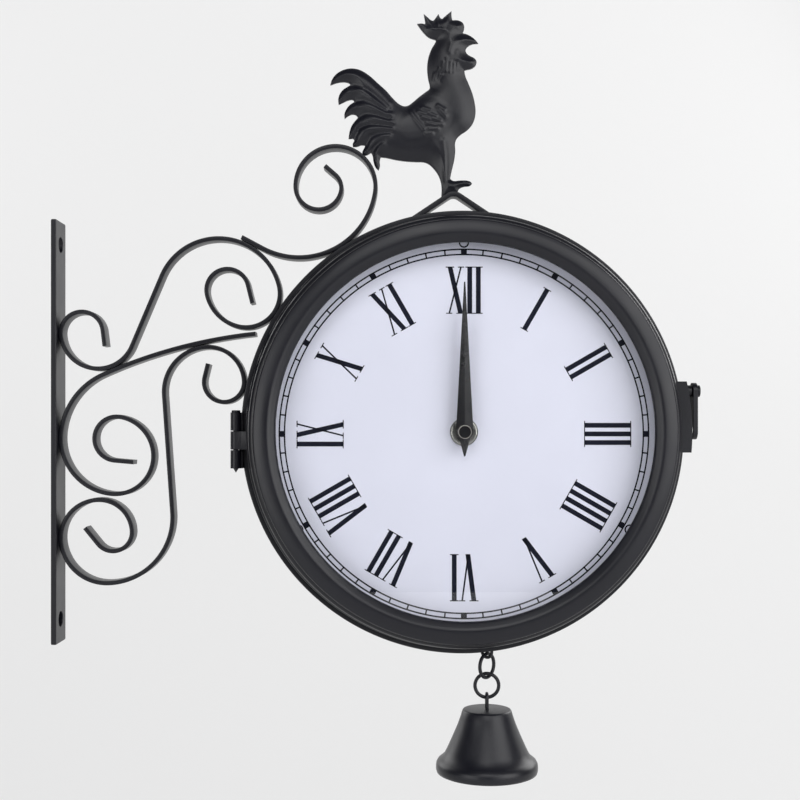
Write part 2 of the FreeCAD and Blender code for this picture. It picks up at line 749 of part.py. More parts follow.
def latch_hook():
    """Flat hook that hangs from its pivot; it swings up to the rear and its open slot takes the keeper."""
    half, slot = latch_width / 2, latch_stud_radius + latch_slot_clearance
    y, z = latch_pivot_y, latch_pivot_height
    pivot, tip = latch_point(hook_inside, y), latch_reach + latch_tip
    bight = pivot - z_axis * latch_reach
    toe = pivot - z_axis * (tip - half)
    thick = x_axis * latch_thickness
    arm = box(hook_inside, hook_outside, y - half, y + half, toe.z, z)
    hook = joined([arm, rod(half, pivot, pivot + thick), rod(half, toe, toe + thick)])
    mouth = box(hook_inside, hook_outside, y, y + latch_width, bight.z - slot, bight.z + slot)
    bore = rod(latch_stud_radius + running_clearance, pivot, pivot + thick)
    return hook.cut([bore, rod(slot, bight, bight + thick), mouth])


# Rooster, drawn about the drum's middle in pixels of the photograph

def rooster_point(px, py):
    """Where a pixel of the rooster's picture lies, its foot standing on the strap."""
    return flat(strap_offset + (px - rooster_foot_px_shares[0]) * mm_per_px,
                strap_top + (rooster_foot_px_shares[1] - py) * mm_per_px)


def curve(points_px, closed):
    """A smooth edge through points of the picture."""
    spline = Part.BSplineCurve()
    spline.interpolate([rooster_point(*point) for point in points_px], PeriodicFlag=closed)
    return spline.toShape()


def slab(edges, thickness):
    """A flat casting of the given outline, even about the bracket's middle plane."""
    shape = Part.Face(Part.Wire(edges)).extrude(y_axis * thickness)
    shape.translate(y_axis * (-thickness / 2))
    return shape


def rooster():
    """Cast rooster: a flat silhouette with a thicker body and a raised wing on both sides."""
    edges = []
    for smooth, points_px in rooster_outline_px_shares:
        if smooth:
            edges.append(curve(points_px, False))
        else:
            corners = [rooster_point(*point) for point in points_px]
            edges.extend(Part.LineSegment(a, b).toShape() for a, b in zip(corners, corners[1:]))
    bird = joined([slab(edges, rooster_plate_thickness),
                   slab([curve(rooster_body_px_shares, True)], rooster_body_thickness),
                   slab([curve(rooster_wing_px_shares, True)], rooster_wing_thickness)])
    return bird.cut(strap_bar())


def strap_bar():
    """The strap's bent bar before its feet are fitted to the rim."""
    rise, along = math.sin(strap_slope), math.cos(strap_slope)
    run = (strap_span / 2) / along - strap_bend_radius * math.tan(strap_slope) + strap_thickness
    start = (strap_offset - strap_span / 2 - strap_thickness * along, strap_foot - strap_thickness * rise)
    heading = math.degrees(strap_slope)
    bends = [(0, run), (strap_bend_radius, -2 * heading), (0, run)]
    return bent_bar(start, heading, bends, strap_thickness, strap_width)


def rooster_strap():
    """Bent strap under the rooster's foot, its two ends fitted to the rim."""
    round_rim = tube(0, rim_radius, -strap_width, strap_width)
    round_rim.rotate(origin, x_axis, 90)
    return strap_bar().cut(round_rim)


# Bell and its links, drawn about the drum's middle

def bell_point(height):
    """A point on the bell's plumb line."""
    return FreeCAD.Vector(bell_offset, 0, height)


def bell_staple():
    """Wire staple through the rim that the upper ring hangs in."""
    half = staple_spread / 2
    legs_top = staple_bottom + half + staple_leg_length
    pieces = [half_loop(half, staple_wire_radius)]
    for side in (-half, half):
        pieces.append(rod(staple_wire_radius, flat(side, 0), flat(side, legs_top - staple_bottom - half)))
    shape = joined(pieces)
    shape.rotate(origin, z_axis, upper_ring_turn + 90)
    shape.translate(bell_point(staple_bottom + half))
    return shape


def upper_ring():
    """Ring that hangs in the staple."""
    return ring(ring_radius, ring_wire_radius, upper_ring_turn, bell_point(upper_ring_center))


def lower_ring():
    """Ring that hangs in the upper ring and faces the front."""
    return ring(ring_radius, ring_wire_radius, 0, bell_point(lower_ring_center))


def bell_loop():
    """Long wire loop through the bell's top: the lower ring above, the clapper below."""
    half = bell_loop_width / 2
    low, high = loop_bottom + half, loop_top - half
    bottom = half_loop(half, bell_loop_wire_radius)
    top = bottom.copy()
    top.rotate(origin, y_axis, 180)
    top.translate(z_axis * (high - low))
    legs = [rod(bell_loop_wire_radius, flat(side, 0), flat(side, high - low)) for side in (-half, half)]
    shape = joined([bottom, top] + legs)
    shape.rotate(origin, z_axis, 90)
    shape.translate(bell_point(low))
    return shape


def bell():
    """Flat-topped bell with flared sides and a rolled lip, pierced for its loop."""
    waist_z, lip_z = bell_lip_height - bell_height, -bell_height
    roll = bell_lip_radius - bell_waist_radius
    middle = (bell_top_radius + bell_waist_radius) / 2 - bell_flare
    lean = bell_edge_radius * math.sqrt(0.5)
    top_r = bell_top_radius - bell_edge_radius
    inner_waist, inner_lip = bell_waist_radius - bell_wall, bell_lip_radius - bell_wall
    out_share, down_share = bell_roll_shares
    shape = turned([
        (0, 0), (top_r, 0), (top_r + lean, lean - bell_edge_radius, bell_top_radius, -bell_edge_radius),
        (middle, waist_z / 2, bell_waist_radius, waist_z),
        (bell_waist_radius + roll * out_share, waist_z - roll * down_share, bell_lip_radius, waist_z - roll),
        (bell_lip_radius, lip_z + bell_wall), (inner_lip, lip_z), (inner_lip - bell_wall, lip_z + bell_wall),
        (inner_lip - bell_wall, waist_z - roll), (inner_waist, waist_z - bell_wall),
        (middle - bell_wall, waist_z / 2, top_r, -bell_wall), (0, -bell_wall)])
    shape.translate(bell_point(bell_top))
    return shape.cut(bell_loop())


def clapper():
    """Eye, rod and ball, hung on the foot of the bell's loop."""
    center = clapper_eye_center
    foot = center - clapper_eye_radius - clapper_rod_length
    eye = ring(clapper_eye_radius, clapper_wire_radius, 0, bell_point(center))
    stem = rod(clapper_wire_radius, bell_point(center - clapper_eye_radius), bell_point(foot))
    ball = Part.makeSphere(clapper_ball_radius, bell_point(foot))
    return joined([eye, stem, ball])


def build():
    """Make every piece and write it to its own file."""
    save(wall_plate(), "wall_plate")
    save(scroll(upper_start_px_shares, upper_heading, upper_bends_px_shares, True), "upper_scroll")
    save(scroll(middle_start_px_shares, middle_heading, middle_bends_px_shares, True), "middle_scroll")
    save(scroll(lower_start_px_shares, lower_heading, lower_bends_px_shares, True), "lower_scroll")
    save(scroll(top_start_px_shares, top_heading, top_bends_px_shares, False), "top_scroll")
    keeper, pivot, staple = keeper_stud(), latch_pivot(), bell_staple()
    rear_shell = faced(shell(-seam_depth, seam_depth), True)
    front_shell = faced(shell(seam_depth + seam_gap, seam_depth + seam_gap + front_flange_depth), False)
    save(rear_shell.cut([at_drum(keeper), at_drum(staple)]), "rear_case")
    save(front_shell.cut(at_drum(pivot)), "front_case")
    save(at_drum(rim_band().cut([keeper, staple])), "rim_band")
    face_pieces = {
        "bezel": bezel(), "glass": glass(), "gasket": gasket(), "dial": dial(), "dial_screws": dial_screws(),
        "movement_case": movement_case(), "movement_cover": movement_cover(), "battery": battery(),
        "battery_contacts": battery_contacts(), "circuit_board": circuit_board(), "shaft_nut": shaft_nut(),
        "minute_arbor": minute_arbor(), "minute_wheel": minute_wheel(), "hour_wheel": hour_wheel(),
        "hour_hand": hand(hour_hand_length, hour_hand_tail, hour_hand_width, hour_hand_level,
                          hour_tube_radius),
        "minute_hand": hand(minute_hand_length, minute_hand_tail, minute_hand_width, minute_hand_level,
                            arbor_radius),
        "hand_cap": hand_cap()}
    for name, shape in face_pieces.items():
        save(faced(shape, False), "front_" + name)
        save(faced(shape, True), "rear_" + name)
    drum_pieces = {
        "rear_hinge_leaf": rear_hinge_leaf(), "front_hinge_leaf": front_hinge_leaf(),
        "hinge_pin": hinge_pin(), "latch_plate": latch_plate(), "latch_pivot": pivot,
        "latch_hook": latch_hook(), "keeper_stud": keeper, "rooster": rooster(),
        "rooster_strap": rooster_strap(), "bell_staple": staple, "upper_ring": upper_ring(),
        "lower_ring": lower_ring(), "bell_loop": bell_loop(), "bell": bell(), "clapper": clapper()}
    for name, shape in drum_pieces.items():
        save(at_drum(shape), name)


build()
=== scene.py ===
"""Looks of a double-sided wall clock: a round iron drum on a scrolled bracket, a rooster and a bell.

Everything is in metres in the frame of the solids: X out from the wall, -Y towards the viewer, Z up.
"""
import json
import logging
import math
from collections.abc import Sequence
from dataclasses import dataclass, field
from enum import Enum

import bmesh
import bpy
import numpy as np
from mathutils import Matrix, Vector


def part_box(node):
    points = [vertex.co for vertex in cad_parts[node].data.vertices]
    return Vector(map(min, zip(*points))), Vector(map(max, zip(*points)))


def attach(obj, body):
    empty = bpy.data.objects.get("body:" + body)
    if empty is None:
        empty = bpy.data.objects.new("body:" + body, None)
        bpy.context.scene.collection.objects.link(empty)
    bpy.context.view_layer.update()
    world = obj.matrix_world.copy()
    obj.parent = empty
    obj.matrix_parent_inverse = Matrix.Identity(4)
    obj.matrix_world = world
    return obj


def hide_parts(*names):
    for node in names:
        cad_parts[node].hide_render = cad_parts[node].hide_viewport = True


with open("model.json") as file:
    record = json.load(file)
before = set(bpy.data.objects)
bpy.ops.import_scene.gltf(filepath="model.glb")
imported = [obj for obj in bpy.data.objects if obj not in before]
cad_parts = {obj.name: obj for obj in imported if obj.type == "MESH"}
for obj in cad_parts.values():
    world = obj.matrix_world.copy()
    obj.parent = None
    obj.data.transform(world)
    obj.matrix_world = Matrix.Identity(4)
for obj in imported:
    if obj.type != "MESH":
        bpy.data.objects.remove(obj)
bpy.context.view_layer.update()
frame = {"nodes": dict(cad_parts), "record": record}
MM = 0.001
HALF_BAR = 1.2 * MM
RIM_REACH_PX = 222.9
SAME_POINT = 0.002 * MM
FLAT_ANGLE = 0.5
CREASE = 35.0
BAR_CREASE = 50.0
EDGE_STEPS = 3
EASED_CREASE = 32.0
EASED_ANGLE = 40.0
GAPS_AT_ONCE = 400000
log = logging.getLogger("clock")

Bends = list[tuple[float, float]]
Corners = Sequence[tuple[float, float]]
Lines = Sequence[Corners]
Spot = tuple[float, float, float]
Surface = tuple[np.ndarray, np.ndarray]


def drum_middle() -> np.ndarray:
    """The middle of the drum, read from the rim."""
    low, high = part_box("rim_band")
    return np.array((low + high) / 2)


def pixel_size() -> float:
    """Metres to a pixel of the photograph in the bracket's plane, from the rim with half a bar round it."""
    low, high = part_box("rim_band")
    return ((high.x - low.x) / 2 + HALF_BAR) / RIM_REACH_PX


class Side(Enum):
    """The two faces of the drum."""

    FRONT = "front"
    REAR = "rear"

    @property
    def body(self) -> str:
        """The body that the fixed pieces of this side ride on."""
        return "front_half" if self is Side.FRONT else "bracket"

    def node(self, name: str) -> str:
        """The full name of one of this side's solids."""
        return f"{self.value}_{name}"

    def place(self, points: np.ndarray) -> np.ndarray:
        """Turn points drawn with Z out of the dial to this side of the drum.

        In front (x, y, z) goes to (x, -z, y), behind to (-x, z, y), both from the drum's middle.

        Args:
            points: array whose last axis is x, y, z in metres.

        Returns:
            An array of the same shape in the frame of the solids.
        """
        x, y, z = np.moveaxis(points, -1, 0)
        turned_round = (x, -z, y) if self is Side.FRONT else (-x, z, y)
        return np.stack(turned_round, -1) + drum_middle()


# Surfaces

def grid_faces(rows: int, columns: int, close_rows: bool, close_columns: bool) -> np.ndarray:
    """Quads between neighbours of a grid of points, wrapped where the grid closes.

    Args:
        rows: number of points along the first parameter.
        columns: number of points along the second parameter.
        close_rows: whether the last row meets the first.
        close_columns: whether the last column meets the first.

    Returns:
        An array of point numbers, four to a face.
    """
    row, column = np.meshgrid(np.arange(rows - (not close_rows)), np.arange(columns - (not close_columns)),
                              indexing="ij")
    below, beside = (row + 1) % rows, (column + 1) % columns
    quads = [row * columns + column, below * columns + column, below * columns + beside,
             row * columns + beside]
    return np.stack(quads, -1).reshape(-1, 4)


def joined(parts: list[Surface]) -> Surface:
    """Several surfaces as one, with the point numbers shifted."""
    starts = np.cumsum([0] + [len(points) for points, _ in parts])
    return (np.concatenate([points for points, _ in parts]),
            np.concatenate([faces + start for (_, faces), start in zip(parts, starts)]))


def sheet(grid: np.ndarray, close_rows: bool = False, close_columns: bool = False) -> Surface:
    """Points and faces of a grid, rows by columns by (x, y, z), joined where it closes."""
    rows, columns = grid.shape[:2]
    return grid.reshape(-1, 3), grid_faces(rows, columns, close_rows, close_columns)


def make_piece(name: str, points: np.ndarray, *faces: np.ndarray, crease: float = CREASE,
               solid: bool = True) -> bpy.types.Object:
    """A new piece from points and faces, smooth but for edges sharper than the crease.

    Args:
        name: name of the piece.
        points: array of x, y, z.
        faces: arrays of point numbers, one for each kind of face.
        crease: angle in degrees from which an edge shows sharp.
        solid: whether the surface is closed, so that doubled points merge and faces turn outwards.

    Returns:
        The object, at the origin.
    """
    mesh = bpy.data.meshes.new(name)
    mesh.from_pydata(points.tolist(), [], [face for kind in faces for face in kind.tolist()])
    if solid:
        tidy(mesh, flat=False)
    soften(mesh, crease)
    piece = bpy.data.objects.new(name, mesh)
    bpy.context.scene.collection.objects.link(piece)
    return piece


def tidy(mesh: bpy.types.Mesh, flat: bool) -> None:
    """Merge doubled points and turn the faces outwards.

    Args:
        mesh: the mesh to change.
        flat: whether to join triangles that lie in one plane.
    """
    work = bmesh.new()
    work.from_mesh(mesh)
    bmesh.ops.remove_doubles(work, verts=work.verts, dist=SAME_POINT)
    if flat:
        limit = math.radians(FLAT_ANGLE)
        bmesh.ops.dissolve_limit(work, angle_limit=limit, verts=work.verts, edges=work.edges)
    bmesh.ops.recalc_face_normals(work, faces=work.faces)
    work.to_mesh(mesh)
    work.free()


def soften(mesh: bpy.types.Mesh, crease: float) -> None:
    """Shade a mesh smooth but for its sharp edges.

    Args:
        mesh: the mesh to change.
        crease: angle in degrees from which an edge shows sharp.
    """
    mesh.polygons.foreach_set("use_smooth", np.ones(len(mesh.polygons), bool))
    mesh.set_sharp_from_angle(angle=math.radians(crease))
    mesh.update()


def rounded(corners: Corners, radius: float | list[float], steps: int = 5) -> np.ndarray:
    """A closed outline with its corners rounded.

    Each corner P becomes the curve (1-t)^2 A + 2t(1-t) P + t^2 B, where A and B lie on its two sides,
    the radius away from it but no further than 0.45 of the side.

    Args:
        corners: the corners in order.
        radius: one rounding for all corners or one for each.
        steps: number of spans along each rounding.

    Returns:
        An array of points, two numbers each.
    """
    point = np.array(corners, float)
    reach = np.broadcast_to(np.array(radius, float), (len(point),))[:, None]
    ends = []
    for neighbour in (np.roll(point, 1, 0), np.roll(point, -1, 0)):
        way = neighbour - point
        length = np.linalg.norm(way, axis=1, keepdims=True)
        ends.append(point + way / length * np.minimum(reach, 0.45 * length))
    t = np.linspace(0, 1, steps + 1)[None, :, None]
    first, last = ends[0][:, None], ends[1][:, None]
    return ((1 - t) ** 2 * first + 2 * t * (1 - t) * point[:, None] + t ** 2 * last).reshape(-1, 2)


def angles(count: int) -> np.ndarray:
    """Equal angles once round a circle."""
    return np.linspace(0, 2 * math.pi, count, endpoint=False)


def turned(profile: np.ndarray, segments: int) -> np.ndarray:
    """A profile swept about Z: x = r cos a, y = r sin a, z = h.

    Args:
        profile: array of (r, h).
        segments: number of spans round the axis.

    Returns:
        A grid, profile points by angles.
    """
    angle = angles(segments)[None, :]
    r, h = profile[:, :1], profile[:, 1:]
    return np.stack([r * np.cos(angle), r * np.sin(angle), h + 0 * angle], -1)


def about_z(points: np.ndarray, turn: float) -> np.ndarray:
    """Points turned about Z by t radians: (x cos t - y sin t, x sin t + y cos t, z)."""
    c, s = math.cos(turn), math.sin(turn)
    return points @ np.array([(c, s, 0), (-s, c, 0), (0, 0, 1)])


def bar_section(thickness: float, width: float, edge: float) -> np.ndarray:
    """The section of a flat bar round its middle, u across it and v along its width, with rounded edges."""
    u, v = thickness / 2, width / 2
    return rounded([(-u, -v), (u, -v), (u, v), (-u, v)], edge, EDGE_STEPS)


def slab_grid(outline: np.ndarray, low: float, high: float) -> np.ndarray:
    """A flat plate of a star-shaped outline between two levels, as a grid with closed ends.

    Rows are the middle at the low level, the outline at both levels, and the middle at the high level.

    Args:
        outline: array of (x, y).
        low: lower level.
        high: upper level.

    Returns:
        A grid of four rows.
    """
    middle = outline.mean(0) + 0 * outline
    rows = [(middle, low), (outline, low), (outline, high), (middle, high)]
    return np.stack([np.column_stack([xy, np.full(len(xy), z)]) for xy, z in rows])


def carried(outline: np.ndarray, path: np.ndarray, heading: np.ndarray) -> np.ndarray:
    """A closed outline (u, v) carried along a path in the XZ plane, with both ends closed.

    At a path point P with heading a the outline lies at P + u (-sin a, 0, cos a) + v (0, 1, 0); the end
    rows repeat P itself.

    Args:
        outline: array of (u, v), u across the bar in the plane and v along Y.
        path: array of (x, z).
        heading: angle of the path at each point, in radians.

    Returns:
        A grid, path points by outline points.
    """
    u, v = outline[None, :, 0], outline[None, :, 1]
    x = path[:, :1] - u * np.sin(heading)[:, None]
    z = path[:, 1:] + u * np.cos(heading)[:, None]
    rows = np.stack([x, v + 0 * x, z], -1)
    middle = rows.mean(1, keepdims=True) + 0 * rows
    return np.concatenate([middle[:1], rows, middle[-1:]])


def bent_path(start: tuple[float, float], heading: float, bends: Bends,
              span: float) -> tuple[np.ndarray, np.ndarray]:
    """A path of straight runs and arcs that meet tangent, as bent on a bench.

    An arc of radius R from heading a to a + t passes C + R (sin b, -cos b) for b between them, turned the
    other way round for a negative t.

    Args:
        start: first point.
        heading: first heading in degrees.
        bends: (radius, turn in degrees) of each arc or (0, length) of each straight run.
        span: greatest distance between points.

    Returns:
        The points and the heading at each in radians.
    """
    place, way = np.array(start, float), math.radians(heading)
    points, ways = [place[None]], [np.array([way])]
    for radius, amount in bends:
        length = amount if radius == 0 else abs(math.radians(amount)) * radius
        t = np.linspace(0, 1, max(2, math.ceil(length / span)) + 1)[1:]
        if radius == 0:
            run = place + amount * t[:, None] * np.array([math.cos(way), math.sin(way)])
            turn = np.full(len(t), way)
        else:
            reach = math.copysign(radius, amount)
            turn = way + math.radians(amount) * t
            centre = place + reach * np.array([-math.sin(way), math.cos(way)])
            run = centre + reach * np.stack([np.sin(turn), -np.cos(turn)], -1)
        points.append(run)
        ways.append(turn)
        place, way = run[-1], turn[-1]
    return np.concatenate(points), np.concatenate(ways)


def spline_round(corners: np.ndarray, steps: int, sharp: float = 62.0) -> np.ndarray:
    """A closed curve through points, smooth but for sharp corners.

    Between neighbours P and Q it is the cubic with tangents of the chord's length: along the line between
    the points on either side of P or Q, or along the chord itself where the corner turns more than sharp.

    Args:
        corners: array of (x, z).
        steps: points to a span.
        sharp: turn in degrees from which a corner stays sharp.

    Returns:
        An array of points.
    """
    ahead = np.roll(corners, -1, 0) - corners
    behind = np.roll(ahead, 1, 0)
    unit = [way / np.linalg.norm(way, axis=1, keepdims=True) for way in (ahead, behind)]
    pointed = ((unit[0] * unit[1]).sum(1) < math.cos(math.radians(sharp)))[:, None]
    mean = unit[0] + unit[1]
    mean = mean / np.maximum(np.linalg.norm(mean, axis=1, keepdims=True), 1e-9)
    length = np.linalg.norm(ahead, axis=1, keepdims=True)
    leave = np.where(pointed, unit[0], mean) * length
    arrive = np.roll(np.where(pointed, unit[1], mean), -1, 0) * length
    t = np.linspace(0, 1, steps, endpoint=False)[None, :, None]
    here, there = corners[:, None], np.roll(corners, -1, 0)[:, None]
    curve = ((2 * t ** 3 - 3 * t ** 2 + 1) * here + (t ** 3 - 2 * t ** 2 + t) * leave[:, None]
             + (3 * t ** 2 - 2 * t ** 3) * there + (t ** 3 - t ** 2) * arrive[:, None])
    return curve.reshape(-1, 2)


def nearest_on(line: np.ndarray, points: np.ndarray,
               closed: bool) -> tuple[np.ndarray, np.ndarray, np.ndarray]:
    """The nearest place on a line to each of many points.

    For a span from A to B it is A + t (B - A) with t = (P - A).(B - A) / |B - A|^2 held between 0 and 1.

    Args:
        line: array of (x, z).
        points: array of (x, z).
        closed: whether the last point of the line joins the first.

    Returns:
        The distances, the nearest places, and whether each point lies inside a closed line.
    """
    first = line if closed else line[:-1]
    span = np.roll(line, -1, 0)[:len(first)] - first
    gaps, feet, within = [], [], []
    for some in np.array_split(points, max(1, len(points) * len(first) // GAPS_AT_ONCE)):
        off = some[:, None] - first
        t = np.clip((off * span).sum(-1) / (span ** 2).sum(-1), 0, 1)
        place = first + t[..., None] * span
        gap = np.linalg.norm(some[:, None] - place, axis=-1)
        best = gap.argmin(1)[:, None]
        gaps.append(np.take_along_axis(gap, best, 1)[:, 0])
        feet.append(np.take_along_axis(place, best[..., None], 1)[:, 0])
        z, low, high = some[:, None, 1], first[:, 1], (first + span)[:, 1]
        height = np.where(span[:, 1] == 0, 1, span[:, 1])
        across = first[:, 0] + (z - low) / height * span[:, 0]
        crossed = ((low > z) != (high > z)) & (some[:, None, 0] < across)
        within.append(crossed.sum(1) % 2 == 1)
    return np.concatenate(gaps), np.concatenate(feet), np.concatenate(within)


def softened(node: str, width: float) -> bpy.types.Object:
    """A copy of a solid with its edges rounded, which stands for it.

    Args:
        node: name of the solid.
        width: width of the rounding.

    Returns:
        The new piece.
    """
    mesh = frame["nodes"][node].data.copy()
    mesh.materials.clear()
    tidy(mesh, flat=True)
    soften(mesh, EASED_CREASE)
    piece = bpy.data.objects.new(f"{node}_eased", mesh)
    bpy.context.scene.collection.objects.link(piece)
    bevel = piece.modifiers.new("eased_edges", "BEVEL")
    bevel.width = width
    bevel.segments = 2
    bevel.limit_method = "ANGLE"
    bevel.angle_limit = math.radians(EASED_ANGLE)
    bevel.harden_normals = True
    return settle(piece, body_of(node), node)


def body_of(node: str) -> str:
    """The body that a solid belongs to."""
    groups = frame["record"]["behaviour"]["bodies"]
    return next(body for body, members in groups.items() if node in members)


def slot_of(node: str) -> str:
    """The material slot of a solid in the record."""
    return next(part["material_slot"] for part in frame["record"]["subparts"] if part["node"] == node)


def settle(piece: bpy.types.Object, body: str, *nodes: str) -> bpy.types.Object:
    """Ride a piece on its body and hide the solids that it stands for.

    Args:
        piece: the new piece.
        body: name of the body it moves with.
        nodes: the solids it stands for.

    Returns:
        The piece.
    """
    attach(piece, body)
    if nodes:
        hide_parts(*nodes)
    log.info("%s rides on %s", piece.name, body)
    return piece


# Finishes

class Nodes:
    """A small hand for wiring one node tree."""

    MIX_FIRST, MIX_SECOND, MIX_RESULT = 6, 7, 2

    def __init__(self, tree: bpy.types.NodeTree) -> None:
        """Start on a tree."""
        self.tree = tree

    def feed(self, socket: bpy.types.NodeSocket, value: object) -> None:
        """Wire another node's output to an input, or set the input to a value.

        Args:
            socket: the input.
            value: an output socket or a plain value.
        """
        if isinstance(value, bpy.types.NodeSocket):
            self.tree.links.new(value, socket)
        else:
            socket.default_value = value

    def fit(self, node: bpy.types.Node, **settings: object) -> None:
        """Set a node's properties, or feed its inputs by their names with _ for a space.

        Args:
            node: the node.
            settings: properties, or values and outputs for its inputs.
        """
        for key, value in settings.items():
            if hasattr(node, key):
                setattr(node, key, value)
            else:
                self.feed(node.inputs[key.replace("_", " ")], value)

    def add(self, kind: str, *inputs: object, **settings: object) -> bpy.types.Node:
        """Add a node and fit it.

        Args:
            kind: Blender's name of the node type.
            inputs: values or outputs for its first inputs, in order.
            settings: what else to fit.

        Returns:
            The node.
        """
        node = self.tree.nodes.new(kind)
        self.fit(node, **settings)
        for socket, value in zip(node.inputs, inputs):
            self.feed(socket, value)
        return node

    def reckon(self, operation: str, first: object, second: object) -> bpy.types.NodeSocket:
        """The output of a sum on two values or outputs."""
        return self.add("ShaderNodeMath", first, second, operation=operation).outputs["Value"]

    def blend(self, share: object, first: object, second: object) -> bpy.types.NodeSocket:
        """The output of a blend of two colours by a share.

        Args:
            share: from 0 for the first to 1 for the second.
            first: a colour or an output.
            second: a colour or an output.

        Returns:
            The blended colour.
        """
        node = self.add("ShaderNodeMix", share, data_type="RGBA")
        self.feed(node.inputs[self.MIX_FIRST], first)
        self.feed(node.inputs[self.MIX_SECOND], second)
        return node.outputs[self.MIX_RESULT]

    def show(self, output: str, share: object, *shaders: bpy.types.NodeSocket) -> None:
        """Put two shaders, mixed by a share, on the surface of an output node."""
        mix = self.add("ShaderNodeMixShader", share, *shaders)
        self.feed(self.tree.nodes[output].inputs["Surface"], mix.outputs["Shader"])


def shader_group(name: str, inputs: dict[str, float], outputs: list[str]) -> Nodes:
    """An empty shader node group with float sockets.

    Args:
        name: name of the group.
        inputs: input names and default values.
        outputs: output names.

    Returns:
        A hand on the group.
    """
    tree = bpy.data.node_groups.new(name, "ShaderNodeTree")
    for key, value in inputs.items():
        socket = tree.interface.new_socket(key, in_out="INPUT", socket_type="NodeSocketFloat")
        socket.default_value = value
    for key in outputs:
        tree.interface.new_socket(key, in_out="OUTPUT", socket_type="NodeSocketFloat")
    return Nodes(tree)


def new_material(name: str) -> tuple[bpy.types.Material, Nodes, bpy.types.Node]:
    """A new material with nodes.

    Args:
        name: its name.

    Returns:
        The material, a hand on its tree and its main shader.
    """
    material = bpy.data.materials.new(name)
    material.use_nodes = True
    return material, Nodes(material.node_tree), material.node_tree.nodes["Principled BSDF"]


def coat_grain() -> bpy.types.NodeTree:
    """Sprayed coat: fine orange-peel height, slow cloudy mask, and dust that settles on upward faces.

    Returns:
        The group, with the scales of the peel and of the clouds as inputs.
    """
    hand = shader_group("coat_grain", {"Grain": 2200.0, "Cloud": 30.0}, ["Height", "Cloud", "Dust"])
    scale = hand.add("NodeGroupInput").outputs
    place = hand.add("ShaderNodeTexCoord").outputs["Object"]
    fine = hand.add("ShaderNodeTexNoise", Vector=place, Scale=scale["Grain"], Detail=2.0, Roughness=0.5)
    slow = hand.add("ShaderNodeTexNoise", Vector=place, Scale=scale["Cloud"], Detail=4.0, Roughness=0.6)
    spread = hand.add("ShaderNodeMapRange", slow.outputs["Fac"], From_Min=0.3, From_Max=0.7)
    cloud = spread.outputs["Result"]
    normal = hand.add("ShaderNodeNewGeometry").outputs["Normal"]
    lie = hand.add("ShaderNodeSeparateXYZ", normal).outputs["Z"]
    upward = hand.add("ShaderNodeMapRange", lie, From_Min=0.55, From_Max=1.0).outputs["Result"]
    hand.add("NodeGroupOutput", Height=fine.outputs["Fac"], Cloud=cloud,
             Dust=hand.reckon("MULTIPLY", upward, cloud))
    return hand.tree


@dataclass(frozen=True)
class Coat:
    """A sprayed or moulded finish: a colour with cloudy variation, fine grain and a little dust."""

    name: str
    color: tuple[float, float, float]
    roughness: float
    metallic: float = 0.0
    grain: float = 2200.0
    bump: float = 0.08
    vary: float = 0.15
    dust: float = 0.0
    specular: float = 0.5
    rough_span: float = 0.05
    peel: float = 0.05 * MM
    dust_color: tuple[float, float, float, float] = (0.32, 0.31, 0.3, 1.0)

    def make(self, group: bpy.types.NodeTree) -> bpy.types.Material:
        """Build the material around the shared grain group.

        Args:
            group: the coat_grain group.

        Returns:
            The material.
        """
        material, hand, shader = new_material(self.name)
        grain = hand.add("ShaderNodeGroup", node_tree=group, Grain=self.grain).outputs
        deep, light = [[min(1, c * (1 + way * self.vary)) for c in self.color] for way in (-1, 1)]
        shade = hand.blend(grain["Cloud"], (*deep, 1), (*light, 1))
        dust = hand.reckon("MULTIPLY", grain["Dust"], self.dust)
        rough = hand.add("ShaderNodeMapRange", grain["Cloud"], To_Min=self.roughness - self.rough_span,
                         To_Max=self.roughness + self.rough_span)
        relief = hand.add("ShaderNodeBump", Height=grain["Height"], Strength=self.bump, Distance=self.peel)
        hand.fit(shader, Metallic=self.metallic, Specular_IOR_Level=self.specular,
                 Base_Color=hand.blend(dust, shade, self.dust_color),
                 Roughness=rough.outputs["Result"], Normal=relief.outputs["Normal"])
        return material


@dataclass(frozen=True)
class ClearGlass:
    """Clear flat glass that lets lamp light through to the dial."""

    name: str = "clear_glass"
    index: float = 1.45

    def make(self) -> bpy.types.Material:
        """Build the material: glass to the eye, clear to shadow and diffuse rays.

        Returns:
            The material.
        """
        material, hand, shader = new_material(self.name)
        hand.fit(shader, Base_Color=(1, 1, 1, 1), Roughness=0.0, IOR=self.index, Transmission_Weight=1.0)
        clear = hand.add("ShaderNodeBsdfTransparent").outputs["BSDF"]
        ray = hand.add("ShaderNodeLightPath").outputs
        passing = hand.reckon("MAXIMUM", ray["Is Shadow Ray"], ray["Is Diffuse Ray"])
        hand.show("Material Output", passing, shader.outputs["BSDF"], clear)
        return material


